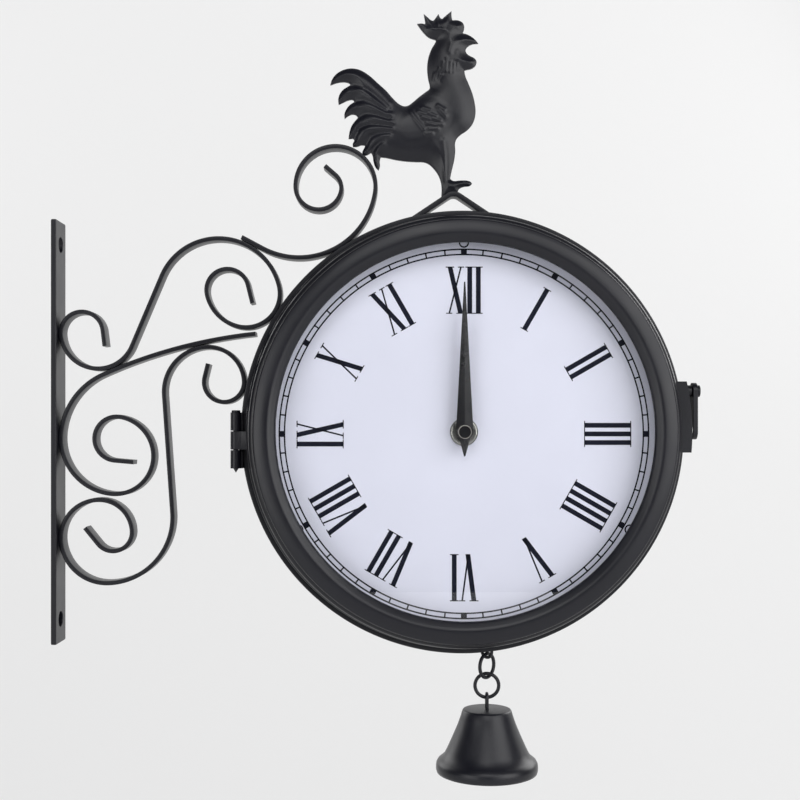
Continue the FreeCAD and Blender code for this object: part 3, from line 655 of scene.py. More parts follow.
class Finishes:
    """Every finish of the clock, made once and kept by the record's slot names."""

    COATS = (
        Coat("black_iron", (0.0052, 0.0054, 0.0092), 0.35, dust=0.015, specular=0.4),
        Coat("black_casting", (0.0058, 0.006, 0.0104), 0.36, bump=0.1, dust=0.015, specular=0.42),
        Coat("white_enamel", (0.75, 0.765, 0.885), 0.38, bump=0.02, vary=0.012),
        Coat("dial_ink", (0.006, 0.007, 0.016), 0.6, bump=0.02, specular=0.06),
        Coat("hand_black", (0.003, 0.003, 0.0045), 0.28, bump=0.03, specular=0.25),
        Coat("black_rubber", (0.012, 0.012, 0.012), 0.75),
        Coat("black_plastic", (0.022, 0.022, 0.024), 0.5, grain=4200.0),
        Coat("plain_steel", (0.5, 0.48, 0.44), 0.32, metallic=1.0, bump=0.03),
        Coat("dark_nickel", (0.3, 0.3, 0.28), 0.16, metallic=1.0, bump=0.03, vary=0.3),
        Coat("yellow_brass", (0.72, 0.5, 0.2), 0.3, metallic=1.0, bump=0.03),
        Coat("cell_jacket", (0.16, 0.16, 0.18), 0.35, metallic=0.4),
        Coat("board_green", (0.02, 0.12, 0.05), 0.5))

    def __init__(self) -> None:
        """Make every material."""
        group = coat_grain()
        self.made = {coat.name: coat.make(group) for coat in self.COATS}
        self.made["clear_glass"] = ClearGlass().make()

    def dress(self, piece: bpy.types.Object, slot: str) -> None:
        """Give a piece one finish.

        Args:
            piece: the object.
            slot: name of the finish.
        """
        piece.data.materials.clear()
        piece.data.materials.append(self.made[slot])
        piece.data.polygons.foreach_set("material_index", np.zeros(len(piece.data.polygons), np.int32))

    def dress_solid(self, node: str) -> None:
        """Give a solid that stays in view the finish of its own slot.

        Args:
            node: name of the solid.
        """
        piece = frame["nodes"][node]
        for index in range(max(1, len(piece.material_slots))):
            if len(piece.material_slots) <= index:
                piece.data.materials.append(None)
            piece.material_slots[index].material = self.made[slot_of(node)]


# Sub-assemblies

@dataclass
class Bracket:
    """The wall plate and its four scrolls, bent from flat bar on edge."""

    bar_width: float = 10.0 * MM
    bar_thickness: float = 2 * HALF_BAR
    bar_edge: float = 0.5 * MM
    bar_span: float = 1.0 * MM
    plate_edge: float = 0.6 * MM
    middle_px: tuple[float, float] = (462.5, 433.0)
    scrolls: dict[str, tuple[tuple[float, float], float, Bends]] = field(default_factory=lambda: {
        "upper_scroll": ((104.0, 347.0), 97.0, [(0, 16), (21, 177), (37, 153), (0, 76), (62, -143),
                                                (33.8, -118), (42, -64), (21, -178), (0, 19)]),
        "middle_scroll": ((255.0, 334.7), 186.0, [(505, 18), (71, 61), (56, 90), (38, 103), (40, 72),
                                                  (22, 185), (0, 19)]),
        "lower_scroll": ((209.0, 364.6), 256.0, [(0, 14), (20, 197), (36, 93), (45, 88), (0, 118),
                                                 (66, -93), (46, -86), (38, -96), (33, -86), (19, -144),
                                                 (0, 21)]),
        "top_scroll": ((242.0, 238.0), -28.0, [(0, 24), (77, 109), (40, 190), (23, 166), (17, 62),
                                               (0, 14)])})

    def build(self, finishes: Finishes) -> None:
        """Make the plate and the scrolls.

        Args:
            finishes: the finishes to dress the pieces in.
        """
        finishes.dress(softened("wall_plate", self.plate_edge), "black_iron")
        for name, (start, heading, bends) in self.scrolls.items():
            finishes.dress(self.scroll(name, start, heading, bends), "black_iron")

    def scroll(self, name: str, start: tuple[float, float], heading: float,
               bends: Bends) -> bpy.types.Object:
        """One scroll: a bar section with eased edges carried along its bends.

        Args:
            name: name of the solid it stands for.
            start: first point in pixels of the photograph.
            heading: first heading in degrees.
            bends: its bends in pixels.

        Returns:
            The piece.
        """
        scale = pixel_size()
        left = drum_middle()[0] + (start[0] - self.middle_px[0]) * scale
        place = (left, (self.middle_px[1] - start[1]) * scale)
        sized = [(radius * scale, amount if radius else amount * scale) for radius, amount in bends]
        section = bar_section(self.bar_thickness, self.bar_width, self.bar_edge)
        grid = carried(section, *bent_path(place, heading, sized, self.bar_span))
        grid[..., 0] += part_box(name)[0].x - grid[..., 0].min()
        piece = make_piece(f"{name}_bar", *sheet(grid, close_columns=True), crease=BAR_CREASE)
        return settle(piece, "bracket", name)


@dataclass
class Drum:
    """The rim, both pressed cases and both cast bezels, turned about the drum's axis."""

    segments: int = 288
    rim_radius: float = 122.0 * MM
    rim_inner: float = 119.0 * MM
    rim_half: float = 7.0 * MM
    rim_easing: float = 0.7 * MM
    wall_radius: float = 115.5 * MM
    sheet_thickness: float = 1.2 * MM
    face_depth: float = 32.0 * MM
    face_opening: float = 101.0 * MM
    corner: float = 4.0 * MM
    shoulder: float = 3.0 * MM
    edge_easing: float = 0.3 * MM
    fold_easing: float = 0.8 * MM
    seam: dict[Side, tuple[float, float]] = field(default_factory=lambda: {
        Side.FRONT: (7.5 * MM, 10.5 * MM), Side.REAR: (-7.0 * MM, 7.0 * MM)})
    tab_circle: float = 109.6 * MM
    tab_width: float = 12.0 * MM
    tab_level: float = 20.2 * MM
    tab_easing: float = 2.0 * MM
    tab_turns: tuple[float, ...] = (45, 135, 225, 315)
    bezel: Corners = (
        (103.5, 32.0), (112.3, 32.0), (112.3, 36.3), (111.6, 37.05), (109.6, 37.75), (107.0, 38.25),
        (104.7, 38.4), (103.3, 37.9), (100.6, 36.1), (100.0, 35.2), (100.0, 34.2), (103.5, 34.2))
    bezel_easing: tuple[float, ...] = (0.2, 0.3, 0.4, 0.35, 1.1, 1.3, 0.8, 0.8, 0.6, 0.4, 0.2, 0.2)

    def build(self, finishes: Finishes) -> None:
        """Make the rim, then each side's case and bezel.

        Args:
            finishes: the finishes to dress the pieces in.
        """
        finishes.dress(self.rim(), "black_iron")
        for side in Side:
            finishes.dress(self.case(side), "black_iron")
            finishes.dress(self.ring(side), "black_casting")
            for name in ("glass", "gasket", "dial_screws"):
                finishes.dress_solid(side.node(name))

    def rim(self) -> bpy.types.Object:
        """The hoop round the seam, with eased edges.

        Returns:
            The piece.
        """
        inner, outer, half = self.rim_inner, self.rim_radius, self.rim_half
        profile = rounded([(inner, -half), (outer, -half), (outer, half), (inner, half)], self.rim_easing)
        grid = Side.REAR.place(turned(profile, self.segments))
        piece = make_piece("rim_hoop", *sheet(grid, True, True))
        return settle(piece, "bracket", "rim_band")

    def case(self, side: Side) -> bpy.types.Object:
        """One pressed half: flange, shoulder, wall, rounded corner and face ring, with four dial tabs.

        Args:
            side: which half.

        Returns:
            The piece.
        """
        low, flange_top = self.seam[side]
        t, wall, depth = self.sheet_thickness, self.wall_radius, self.face_depth
        rim, opening, top = self.rim_inner, self.face_opening, flange_top + self.shoulder
        corners = [(rim, low), (rim, flange_top), (wall, top), (wall, depth), (opening, depth),
                   (opening, depth - t), (wall - t, depth - t), (wall - t, top), (rim - t, flange_top),
                   (rim - t, low)]
        edge, fold = self.edge_easing, self.fold_easing
        easing = [edge, fold, fold, self.corner, edge, edge, self.corner - t, fold, fold, edge]
        shell = sheet(turned(rounded(corners, easing), self.segments), True, True)
        points, faces = joined([shell] + [self.tab(math.radians(turn)) for turn in self.tab_turns])
        piece = make_piece(side.node("case_pressing"), side.place(points), faces)
        return settle(piece, side.body, side.node("case"))

    def tab(self, turn: float) -> Surface:
        """One dial tab: a rounded plate under the dial, its root in the wall.

        Args:
            turn: where it stands round the dial, in radians.

        Returns:
            Points and faces with Z out of the dial.
        """
        half, near = self.tab_width / 2, self.tab_circle - self.tab_width / 2
        far = self.wall_radius - self.sheet_thickness / 2
        outline = rounded([(near, -half), (far, -half), (far, half), (near, half)], self.tab_easing)
        plate = slab_grid(outline, self.tab_level - self.sheet_thickness, self.tab_level)
        return sheet(about_z(plate, turn), close_columns=True)

    def ring(self, side: Side) -> bpy.types.Object:
        """One bezel: foot, wall, flat band up to the crest, bevel down to the opening and glass seat.

        Args:
            side: which face.

        Returns:
            The piece.
        """
        profile = rounded([(r * MM, h * MM) for r, h in self.bezel], [e * MM for e in self.bezel_easing])
        grid = side.place(turned(profile, self.segments))
        piece = make_piece(side.node("bezel_ring"), *sheet(grid, True, True), crease=BAR_CREASE)
        return settle(piece, side.body, side.node("bezel"))


@dataclass
class DialPrint:
    """What is printed on each dial, in millimetres: a minute track and Roman hours, tops outwards."""

    lift: float = 0.03
    face: float = 21.0
    track_outer: float = 99.8
    track_inner: float = 96.2
    track_spans: int = 360
    line: float = 0.8
    low: float = 1.05
    circle_radius: float = 2.4
    circle_place: float = 103.0
    circle_spans: int = 32
    circle_turns: tuple[float, ...] = (0.0, 120.0, 240.0)
    minute_turn: float = 6.0
    hour_turn: float = 30.0
    hour_block: float = 3.2
    foot: float = 64.7
    head: float = 90.1
    thick: float = 2.6
    thin: float = 0.9
    hairline: float = 0.55
    advance: dict[str, float] = field(default_factory=lambda: {"I": 4.64, "V": 10.4, "X": 10.9})
    hours: tuple[str, ...] = ("XII", "I", "II", "III", "IIII", "V", "VI", "VII", "VIII", "IX", "X", "XI")

    def build(self, finishes: Finishes) -> None:
        """Print both dials.

        Args:
            finishes: the finishes to dress the pieces in.
        """
        flat = np.concatenate([self.rings(), self.ticks(), self.circles(), self.numerals()]) - (0, self.low)
        level = np.full(flat.shape[:2] + (1,), self.face + self.lift)
        quads = np.concatenate([flat, level], -1) * MM
        for side in Side:
            finishes.dress_solid(side.node("dial"))
            points = side.place(quads).reshape(-1, 3)
            faces = np.arange(len(points)).reshape(-1, 4)
            piece = make_piece(side.node("dial_print"), points, faces, solid=False)
            settle(piece, side.body)
            finishes.dress(piece, "dial_ink")

    def band(self, radius: float, spans: int) -> np.ndarray:
        """A printed circle as quads between angles: (r cos a, r sin a) at both edges of its line.

        Args:
            radius: middle of the line.
            spans: number of quads.

        Returns:
            Quads of (x, y) from the circle's middle.
        """
        angle = np.linspace(0, 2 * math.pi, spans + 1)
        way = np.stack([np.cos(angle), np.sin(angle)], -1)
        inner, outer = way * (radius - self.line / 2), way * (radius + self.line / 2)
        return np.stack([inner[:-1], outer[:-1], outer[1:], inner[1:]], 1)

    def rings(self) -> np.ndarray:
        """The two lines of the track."""
        middles = (self.track_outer - self.line / 2, self.track_inner + self.line / 2)
        return np.concatenate([self.band(middle, self.track_spans) for middle in middles])

    def circles(self) -> np.ndarray:
        """Three small locating circles outside the track, at twelve, four and eight o'clock."""
        ring = self.band(self.circle_radius, self.circle_spans) + (0, self.circle_place)
        return np.concatenate([self.spun(ring, np.full(len(ring), turn)) for turn in self.circle_turns])

    def ticks(self) -> np.ndarray:
        """A line across the track at each minute and a block at each hour.

        Returns:
            Quads of (x, y) from the dial's middle.
        """
        minute = np.arange(60)
        half = np.where(minute % 5 == 0, self.hour_block, self.line)[:, None, None] / 2
        corner = np.array([[-1, self.track_inner], [1, self.track_inner], [1, self.track_outer],
                           [-1, self.track_outer]])[None]
        quads = np.concatenate([corner[..., :1] * half, corner[..., 1:] + 0 * half], -1)
        return self.spun(quads, minute * self.minute_turn)

    def spun(self, quads: np.ndarray, degrees: np.ndarray) -> np.ndarray:
        """Turn quads clockwise about the dial's middle.

        Args:
            quads: array of quads of (x, y), y outwards.
            degrees: one angle for each quad.

        Returns:
            The turned quads.
        """
        a = np.radians(degrees)[:, None]
        x, y = quads[..., 0], quads[..., 1]
        return np.stack([x * np.cos(a) + y * np.sin(a), y * np.cos(a) - x * np.sin(a)], -1)

    def numerals(self) -> np.ndarray:
        """All twelve hours, each standing on the foot circle with its head outwards.

        Returns:
            Quads of (x, y) from the dial's middle.
        """
        quads = []
        for hour, letters in enumerate(self.hours):
            widths = [self.advance[letter] for letter in letters]
            place = -sum(widths) / 2
            for letter, width in zip(letters, widths):
                strokes = self.letter(letter) + np.array([place + width / 2, 0])
                quads.append(self.spun(strokes, np.full(len(strokes), hour * self.hour_turn)))
                place += width
        return np.concatenate(quads)

    def letter(self, letter: str) -> np.ndarray:
        """The strokes of one letter as quads: stems lean from foot to head, hairlines lie flat.

        A stem is its x at the foot, its x at the head and its width, a hairline its x, y and half length.

        Args:
            letter: I, V or X.

        Returns:
            Quads of (x, y), x from the letter's middle and y from the dial's middle.
        """
        foot, head, thick, thin = self.foot, self.head, self.thick, self.thin
        stems = {"I": [(0, 0, thick)],
                 "V": [(0.2, -3.1, thick), (-0.1, 3.3, thin)],
                 "X": [(2.9, -2.9, thick), (-3.3, 3.1, thin)]}
        serifs = {"I": [(0, foot, 2.35), (0, head, 2.35)],
                  "V": [(-3.1, head, 2.4), (3.3, head, 1.7)],
                  "X": [(2.9, foot, 2.3), (-3.3, foot, 1.7), (-2.9, head, 2.3), (3.1, head, 1.7)]}
        quads = []
        for low, high, width in stems[letter]:
            quads.append([(low - width / 2, foot), (low + width / 2, foot),
                          (high + width / 2, head), (high - width / 2, head)])
        for x, y, half in serifs[letter]:
            inward = self.hairline if y == foot else -self.hairline
            low, high = sorted((y, y + inward))
            quads.append([(x - half, low), (x + half, low), (x + half, high), (x - half, high)])
        return np.array(quads)


@dataclass
class Hands:
    """Nut, ridged lance hands and a flat cap at the middle of each dial, with a steel ring round the cap as
    a painted highlight.
    """

    half_width: float = 4.5 * MM
    widest: float = 2.5 * MM
    edge: float = 0.45 * MM
    tip: float = 0.35 * MM
    ridge_crease: float = 8.0
    tail_rows: int = 12
    point_rows: int = 40
    nut_segments: int = 96
    cap_segments: int = 64
    nut_easing: float = 0.3 * MM
    nut: Corners = ((4.0, 21.0), (7.6, 21.0), (7.6, 22.7), (6.7, 23.45), (4.0, 23.6))
    cap: Corners = ((0.0, 29.0), (3.9, 29.0), (3.9, 30.6), (3.6, 31.0), (0.0, 31.05))
    cap_highlight_ring: Corners = ((3.25, 31.0), (3.6, 30.9), (3.6, 31.2), (3.25, 31.2))

    def build(self, finishes: Finishes) -> None:
        """Make each side's nut, hands and cap, and the steel ring that paints the cap's edge highlight.

        Args:
            finishes: the finishes to dress the pieces in.
        """
        for side in Side:
            profile = rounded([(r * MM, h * MM) for r, h in self.nut], self.nut_easing, EDGE_STEPS)
            nut = self.disc(side, "round_nut", profile, self.nut_segments, True)
            finishes.dress(settle(nut, side.body, side.node("shaft_nut")), "dark_nickel")
            for name in ("hour", "minute"):
                finishes.dress(self.lance(side, name), "hand_black")
            cap = self.disc(side, "flat_cap", np.array(self.cap) * MM, self.cap_segments, False)
            finishes.dress(settle(cap, side.node("minute"), side.node("hand_cap")), "hand_black")
            # Painted highlight: a bright steel ring on the cap's top edge stands for the light line that
            # this edge catches.
            rim = self.disc(side, "cap_bright_rim", np.array(self.cap_highlight_ring) * MM, self.cap_segments, True)
            finishes.dress(settle(rim, side.node("minute")), "plain_steel")

    def disc(self, side: Side, name: str, profile: np.ndarray, segments: int,
             pierced: bool) -> bpy.types.Object:
        """A turned piece on one side, closed round a hole where it is pierced."""
        grid = side.place(turned(profile, segments))
        return make_piece(side.node(name), *sheet(grid, pierced, True))

    def lance(self, side: Side, name: str) -> bpy.types.Object:
        """One hand: a kite along Y whose top rises from both edges to a ridge.

        Across each row the five points are the lower and upper left edge, the ridge, and the upper and
        lower right edge; the ridge falls to the edge's height at both tips.

        Args:
            side: which dial.
            name: hour or minute.

        Returns:
            The piece.
        """
        low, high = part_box(side.node(f"{name}_hand"))
        level, top = sorted((abs(low.y), abs(high.y)))
        ends = np.array([low.z, self.widest, high.z])
        along = np.concatenate([np.linspace(ends[0], ends[1], self.tail_rows),
                                np.linspace(ends[1], ends[2], self.point_rows)[1:]])
        full = np.interp(along, ends, [0, 1, 0])
        half = self.tip + (self.half_width - self.tip) * full
        ridge = self.edge + (top - level - self.edge) * np.sqrt(np.clip(full, 0, 1))
        edge = np.full(len(along), self.edge)
        x = np.stack([-half, -half, 0 * half, half, half], 1)
        z = level + np.stack([0 * edge, edge, ridge, edge, 0 * edge], 1)
        rows = np.stack([x, along[:, None] + 0 * x, z], -1)
        middle = rows[:, [0, 4]].mean(1, keepdims=True) + 0 * rows
        grid = np.concatenate([middle[:1], rows, middle[-1:]])
        surface = sheet(side.place(grid), close_columns=True)
        piece = make_piece(side.node(f"{name}_lance"), *surface, crease=self.ridge_crease)
        return settle(piece, side.node(name), side.node(f"{name}_hand"))


@dataclass
class Works:
    """The battery movements behind the dials, which stay as their solids."""

    nodes: tuple[str, ...] = (
        "movement_case", "movement_cover", "battery", "battery_contacts", "circuit_board", "minute_arbor",
        "minute_wheel", "hour_wheel")

    def build(self, finishes: Finishes) -> None:
        """Dress each side's movement.

        Args:
            finishes: the finishes to dress the pieces in.
        """
        for side in Side:
            for name in self.nodes:
                finishes.dress_solid(side.node(name))


@dataclass
class HingeAndLatch:
    """Leaves, pin, latch plate, hook and studs, with eased edges."""

    edge: float = 0.3 * MM
    nodes: tuple[str, ...] = (
        "rear_hinge_leaf", "front_hinge_leaf", "hinge_pin", "latch_plate", "latch_pivot", "latch_hook",
        "keeper_stud")

    def build(self, finishes: Finishes) -> None:
        """Ease and dress each piece."""
        for name in self.nodes:
            finishes.dress(softened(name, self.edge), "black_iron")


@dataclass
class Bell:
    """Staple, rings, loop, bell and clapper."""

    segments: int = 160
    crease: float = 60.0
    ring_radius: float = 6.6 * MM
    ring_wire: float = 1.0 * MM
    ring_crease: float = 80.0
    ring_spans: tuple[int, int] = (64, 20)
    upper_turn: float = 50.0
    wire_edge: float = 0.1 * MM
    wall: Corners = (
        (0.0, 0.0), (12.2, 0.0), (13.2, -0.25), (13.75, -1.1), (14.6, -4.0), (16.2, -8.5), (18.1, -13.0),
        (20.3, -18.0), (22.4, -22.6), (24.0, -25.6), (25.8, -27.2), (27.3, -28.4), (28.1, -29.8),
        (28.3, -31.2), (28.3, -33.2), (27.9, -34.6), (27.0, -35.0), (26.2, -34.6), (25.7, -33.4),
        (25.6, -30.6), (24.4, -28.4), (22.7, -26.8), (20.9, -22.8), (18.8, -18.2), (16.7, -13.2),
        (14.8, -8.7), (13.3, -4.4), (12.4, -1.6), (0.0, -1.3))

    def build(self, finishes: Finishes) -> None:
        """Make the bell and its rings, ease the rest.

        Args:
            finishes: the finishes to dress the pieces in.
        """
        low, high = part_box("bell")
        middle = (low + high) / 2
        grid = turned(np.array(self.wall) * MM, self.segments) + np.array((middle.x, middle.y, high.z))
        piece = make_piece("bell_casting", *sheet(grid, close_columns=True), crease=self.crease)
        finishes.dress(settle(piece, "bell", "bell"), "black_casting")
        for name, turn in (("upper_ring", self.upper_turn), ("lower_ring", 0.0)):
            finishes.dress(self.ring(name, math.radians(turn)), "black_iron")
        for name in ("bell_staple", "bell_loop", "clapper"):
            finishes.dress(softened(name, self.wire_edge), "black_iron")

    def ring(self, name: str, turn: float) -> bpy.types.Object:
        """A wire ring: ((R + r cos b) cos a, r sin b, (R + r cos b) sin a), turned about Z.

        Args:
            name: the solid it stands for.
            turn: its turn in radians.

        Returns:
            The piece.
        """
        low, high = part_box(name)
        a, b = angles(self.ring_spans[0])[:, None], angles(self.ring_spans[1])[None, :]
        reach = self.ring_radius + self.ring_wire * np.cos(b)
        hoop = np.stack([reach * np.cos(a), self.ring_wire * np.sin(b) + 0 * a, reach * np.sin(a)], -1)
        grid = about_z(hoop, turn) + np.array((low + high) / 2)
        piece = make_piece(f"{name}_wire", *sheet(grid, True, True), crease=self.ring_crease)
        return settle(piece, name, name)


@dataclass
class Rooster:
    """The cast rooster, a relief on both sides of its outline, and the strap that it stands on.

    Its lines are drawn in a view of the photograph enlarged five times from the pixel (320, 0).
    """

    strap_edge: float = 0.5 * MM
    strap_thickness: float = 2.8 * MM
    strap_bend: float = 6.9 * MM
    strap_slope: float = 33.69
    strap_arm: float = 24.0 * MM
    strap_gap: float = 0.02 * MM
    strap_span: float = 0.8 * MM
    cell: float = 0.42 * MM
    snap: float = 0.71
    crease: float = 70.0
    outline_steps: int = 5
    wing_steps: int = 8
    edge: float = 0.75 * MM
    thinnest: float = 0.5
    fade_in: float = 1.2 * MM
    swell: float = 3.1 * MM
    swell_reach: float = 5.5 * MM
    swell_power: float = 1.4
    wing_height: float = 0.4 * MM
    wing_slope: float = 5.0 * MM
    view_corner: tuple[float, float] = (320.0, 0.0)
    view_zoom: float = 5.0
    foot_px: tuple[float, float] = (456.0, 190.5)
    foot_offset: float = -3.5 * MM
    comb: Corners = (
        (583, 186), (545, 172), (514, 142), (487, 105), (512, 103), (530, 108), (525, 82), (520, 55),
        (541, 73), (556, 86), (569, 90), (579, 77), (594, 55), (603, 74), (611, 82), (629, 66),
        (660, 40), (660, 66), (664, 88), (681, 86), (701, 90), (717, 101), (724, 120), (721, 140),
        (714, 152))
    beak: Corners = (
        (733, 156), (756, 167), (778, 184), (794, 203), (768, 205), (746, 215), (733, 229), (731, 243),
        (739, 257), (756, 268), (775, 278), (786, 295), (780, 315), (761, 329), (737, 335), (724, 338))
    breast: Corners = (
        (729, 366), (745, 405), (763, 450), (775, 495), (781, 540), (777, 580), (763, 612), (738, 640),
        (706, 662), (686, 682))
    leg: Corners = (
        (678, 707), (679, 745), (673, 795), (661, 845), (653, 885), (669, 895), (700, 893), (735, 893),
        (757, 900), (763, 909), (752, 919), (720, 924), (698, 935), (690, 952), (680, 952), (662, 954),
        (645, 962), (625, 975), (608, 986), (610, 930), (606, 900), (593, 865), (572, 835), (548, 812),
        (523, 801))
    belly: Corners = ((480, 799), (430, 796), (380, 789), (335, 779), (303, 775))
    tail: Corners = (
        (299, 795), (300, 820), (293, 842), (278, 826), (267, 795), (263, 768), (256, 752), (236, 764),
        (214, 768), (211, 752), (219, 733), (228, 716), (205, 715), (185, 722), (164, 723), (163, 708),
        (171, 691), (165, 681), (142, 683), (147, 648), (160, 614), (178, 590), (190, 577), (180, 564),
        (160, 560), (140, 568), (122, 582), (121, 560), (129, 538), (146, 515), (172, 497), (164, 487),
        (140, 489), (115, 500), (92, 511), (90, 485), (98, 458), (115, 436), (138, 421), (154, 411),
        (143, 402), (115, 397), (80, 402), (50, 413), (58, 387), (81, 357), (115, 337), (155, 329),
        (200, 337), (245, 364), (290, 404), (330, 440), (370, 485), (400, 511))
    back: Corners = (
        (420, 519), (440, 517), (465, 500), (500, 470), (530, 448), (549, 432), (550, 415), (543, 385),
        (538, 345), (538, 310), (545, 270), (560, 230), (578, 200))
    wing: Corners = (
        (432, 560), (470, 525), (520, 502), (575, 500), (622, 518), (648, 555), (640, 605), (603, 648),
        (553, 682), (488, 707), (425, 702), (392, 668), (396, 612))
    quills: Lines = (
        ((62, 396), (85, 372), (125, 357), (175, 362), (235, 393), (295, 445), (345, 505)),
        ((97, 492), (112, 458), (150, 436), (205, 451), (265, 488), (330, 532)),
        ((128, 566), (148, 532), (190, 514), (245, 524), (305, 548), (350, 566)),
        ((148, 668), (165, 622), (205, 590), (255, 588), (310, 600), (355, 608)),
        ((170, 712), (195, 672), (235, 646), (295, 638), (350, 640)),
        ((219, 760), (240, 718), (280, 690), (340, 672)),
        ((292, 832), (280, 795), (282, 758), (315, 718)))
    partings: Lines = (
        ((154, 411), (200, 424), (255, 458), (310, 505), (350, 545)),
        ((172, 497), (220, 494), (275, 518), (335, 550)),
        ((190, 577), (225, 560), (280, 566), (345, 586)),
        ((168, 684), (200, 632), (250, 612), (310, 618), (355, 624)),
        ((226, 716), (255, 674), (300, 658), (350, 656)),
        ((256, 752), (275, 724), (320, 695)))
    wing_quills: Lines = (
        ((512, 532), (548, 546)), ((492, 552), (528, 566)), ((540, 560), (580, 578)),
        ((512, 580), (550, 592)), ((565, 588), (602, 600)), ((535, 612), (575, 622)),
        ((575, 622), (612, 618)), ((548, 642), (590, 640)), ((530, 666), (560, 662)),
        ((600, 545), (628, 575)), ((590, 525), (622, 545)), ((455, 552), (480, 590), (520, 640)))
    hackles: Lines = (
        ((565, 395), (575, 360)), ((585, 380), (598, 335)), ((608, 360), (618, 305)),
        ((630, 345), (636, 285)), ((652, 350), (655, 300)), ((672, 352), (672, 310)),
        ((692, 345), (688, 312)), ((600, 395), (612, 370)))
    face: Lines = (
        ((652, 250), (664, 215), (690, 196), (725, 190), (765, 195)),
        ((690, 250), (700, 290), (730, 312), (762, 305)),
        ((545, 140), (570, 150), (600, 140)), ((600, 110), (640, 95), (690, 120)))
    thigh: Lines = (
        ((620, 700), (628, 760), (632, 830), (632, 900)), ((650, 910), (700, 908), (745, 908)))

    def build(self, finishes: Finishes) -> None:
        """Make the strap and the figure."""
        finishes.dress(self.strap(), "black_iron")
        finishes.dress(self.figure(), "black_casting")

    def strap(self) -> bpy.types.Object:
        """The bent strap: two straight arms and a bend, its ends pressed onto the rim.

        A point P nearer the drum's middle M than the rim's radius R goes to M + R (P - M) / |P - M|.

        Returns:
            The piece.
        """
        low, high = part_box("rooster_strap")
        rim_low, rim_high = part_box("rim_band")
        radius = (rim_high.x - rim_low.x) / 2 + self.strap_gap
        across = self.strap_thickness / 2
        bend, slope = self.strap_bend - across, math.radians(self.strap_slope)
        start = ((low.x + high.x) / 2 - self.strap_arm * math.cos(slope) - bend * math.sin(slope),
                 high.z - across - self.strap_arm * math.sin(slope) - bend * (1 - math.cos(slope)))
        bends = [(0, self.strap_arm), (bend, -2 * self.strap_slope), (0, self.strap_arm)]
        section = bar_section(self.strap_thickness, high.y - low.y, self.strap_edge)
        grid = carried(section, *bent_path(start, self.strap_slope, bends, self.strap_span))
        off = (grid - drum_middle()) * (1, 0, 1)
        reach = np.linalg.norm(off, axis=-1, keepdims=True)
        grid += off * (np.maximum(radius / reach, 1) - 1)
        piece = make_piece("rooster_strap_bar", *sheet(grid, close_columns=True), crease=BAR_CREASE)
        return settle(piece, "bracket", "rooster_strap")

    def placed(self, drawn: Corners) -> np.ndarray:
        """Points of the enlarged view as (x, z) in metres, the foot on the strap's top.

        Args:
            drawn: points of the enlarged view.

        Returns:
            An array of (x, z).
        """
        pixel = np.array(drawn, float) / self.view_zoom + self.view_corner - np.array(self.foot_px)
        foot = (drum_middle()[0] + self.foot_offset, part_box("rooster_strap")[1].z)
        return pixel * pixel_size() * (1, -1) + foot

    def stroke(self, spots: np.ndarray, lines: Lines, width: float) -> np.ndarray:
        """How near each spot lies to any of some lines: the greatest of exp(-(gap / width)^2).

        Args:
            spots: array of (x, z).
            lines: lines of the enlarged view.
            width: reach of a line.

        Returns:
            A number from 0 to 1 for each spot.
        """
        near = [np.exp(-(nearest_on(self.placed(line), spots, False)[0] / width) ** 2) for line in lines]
        return np.max(near, 0)

    def marks(self) -> list[tuple[Lines, float, float]]:
        """Each kind of line, how far it is raised, or cut where negative, and its reach in millimetres."""
        return [(self.quills, 0.65, 2.2), (self.partings, -0.65, 1.4), (self.wing_quills, 0.5, 1.1),
                (self.hackles, 0.28, 0.9), (self.face, 0.35, 1.8), (self.thigh, 0.6, 1.8)]

    def relief(self, spots: np.ndarray, depth: np.ndarray) -> np.ndarray:
        """Half thickness: edge + swell (1 - exp(-(depth / reach)^power)), with lines raised or cut.

        Args:
            spots: array of (x, z).
            depth: distance of each spot in from the outline.

        Returns:
            The half thickness at each spot.
        """
        inward = 1 - np.exp(-depth / self.fade_in)
        body = self.swell * (1 - np.exp(-(depth / self.swell_reach) ** self.swell_power))
        gap, _, within = nearest_on(spline_round(self.placed(self.wing), self.wing_steps), spots, True)
        lift = np.clip(0.5 + np.where(within, gap, -gap) / self.wing_slope, 0, 1)
        wing = self.wing_height * lift ** 2 * (3 - 2 * lift)
        lines = [height * MM * self.stroke(spots, kind, reach * MM) for kind, height, reach in self.marks()]
        return np.maximum(self.edge + body + inward * (wing + np.sum(lines, 0)), self.thinnest * self.edge)

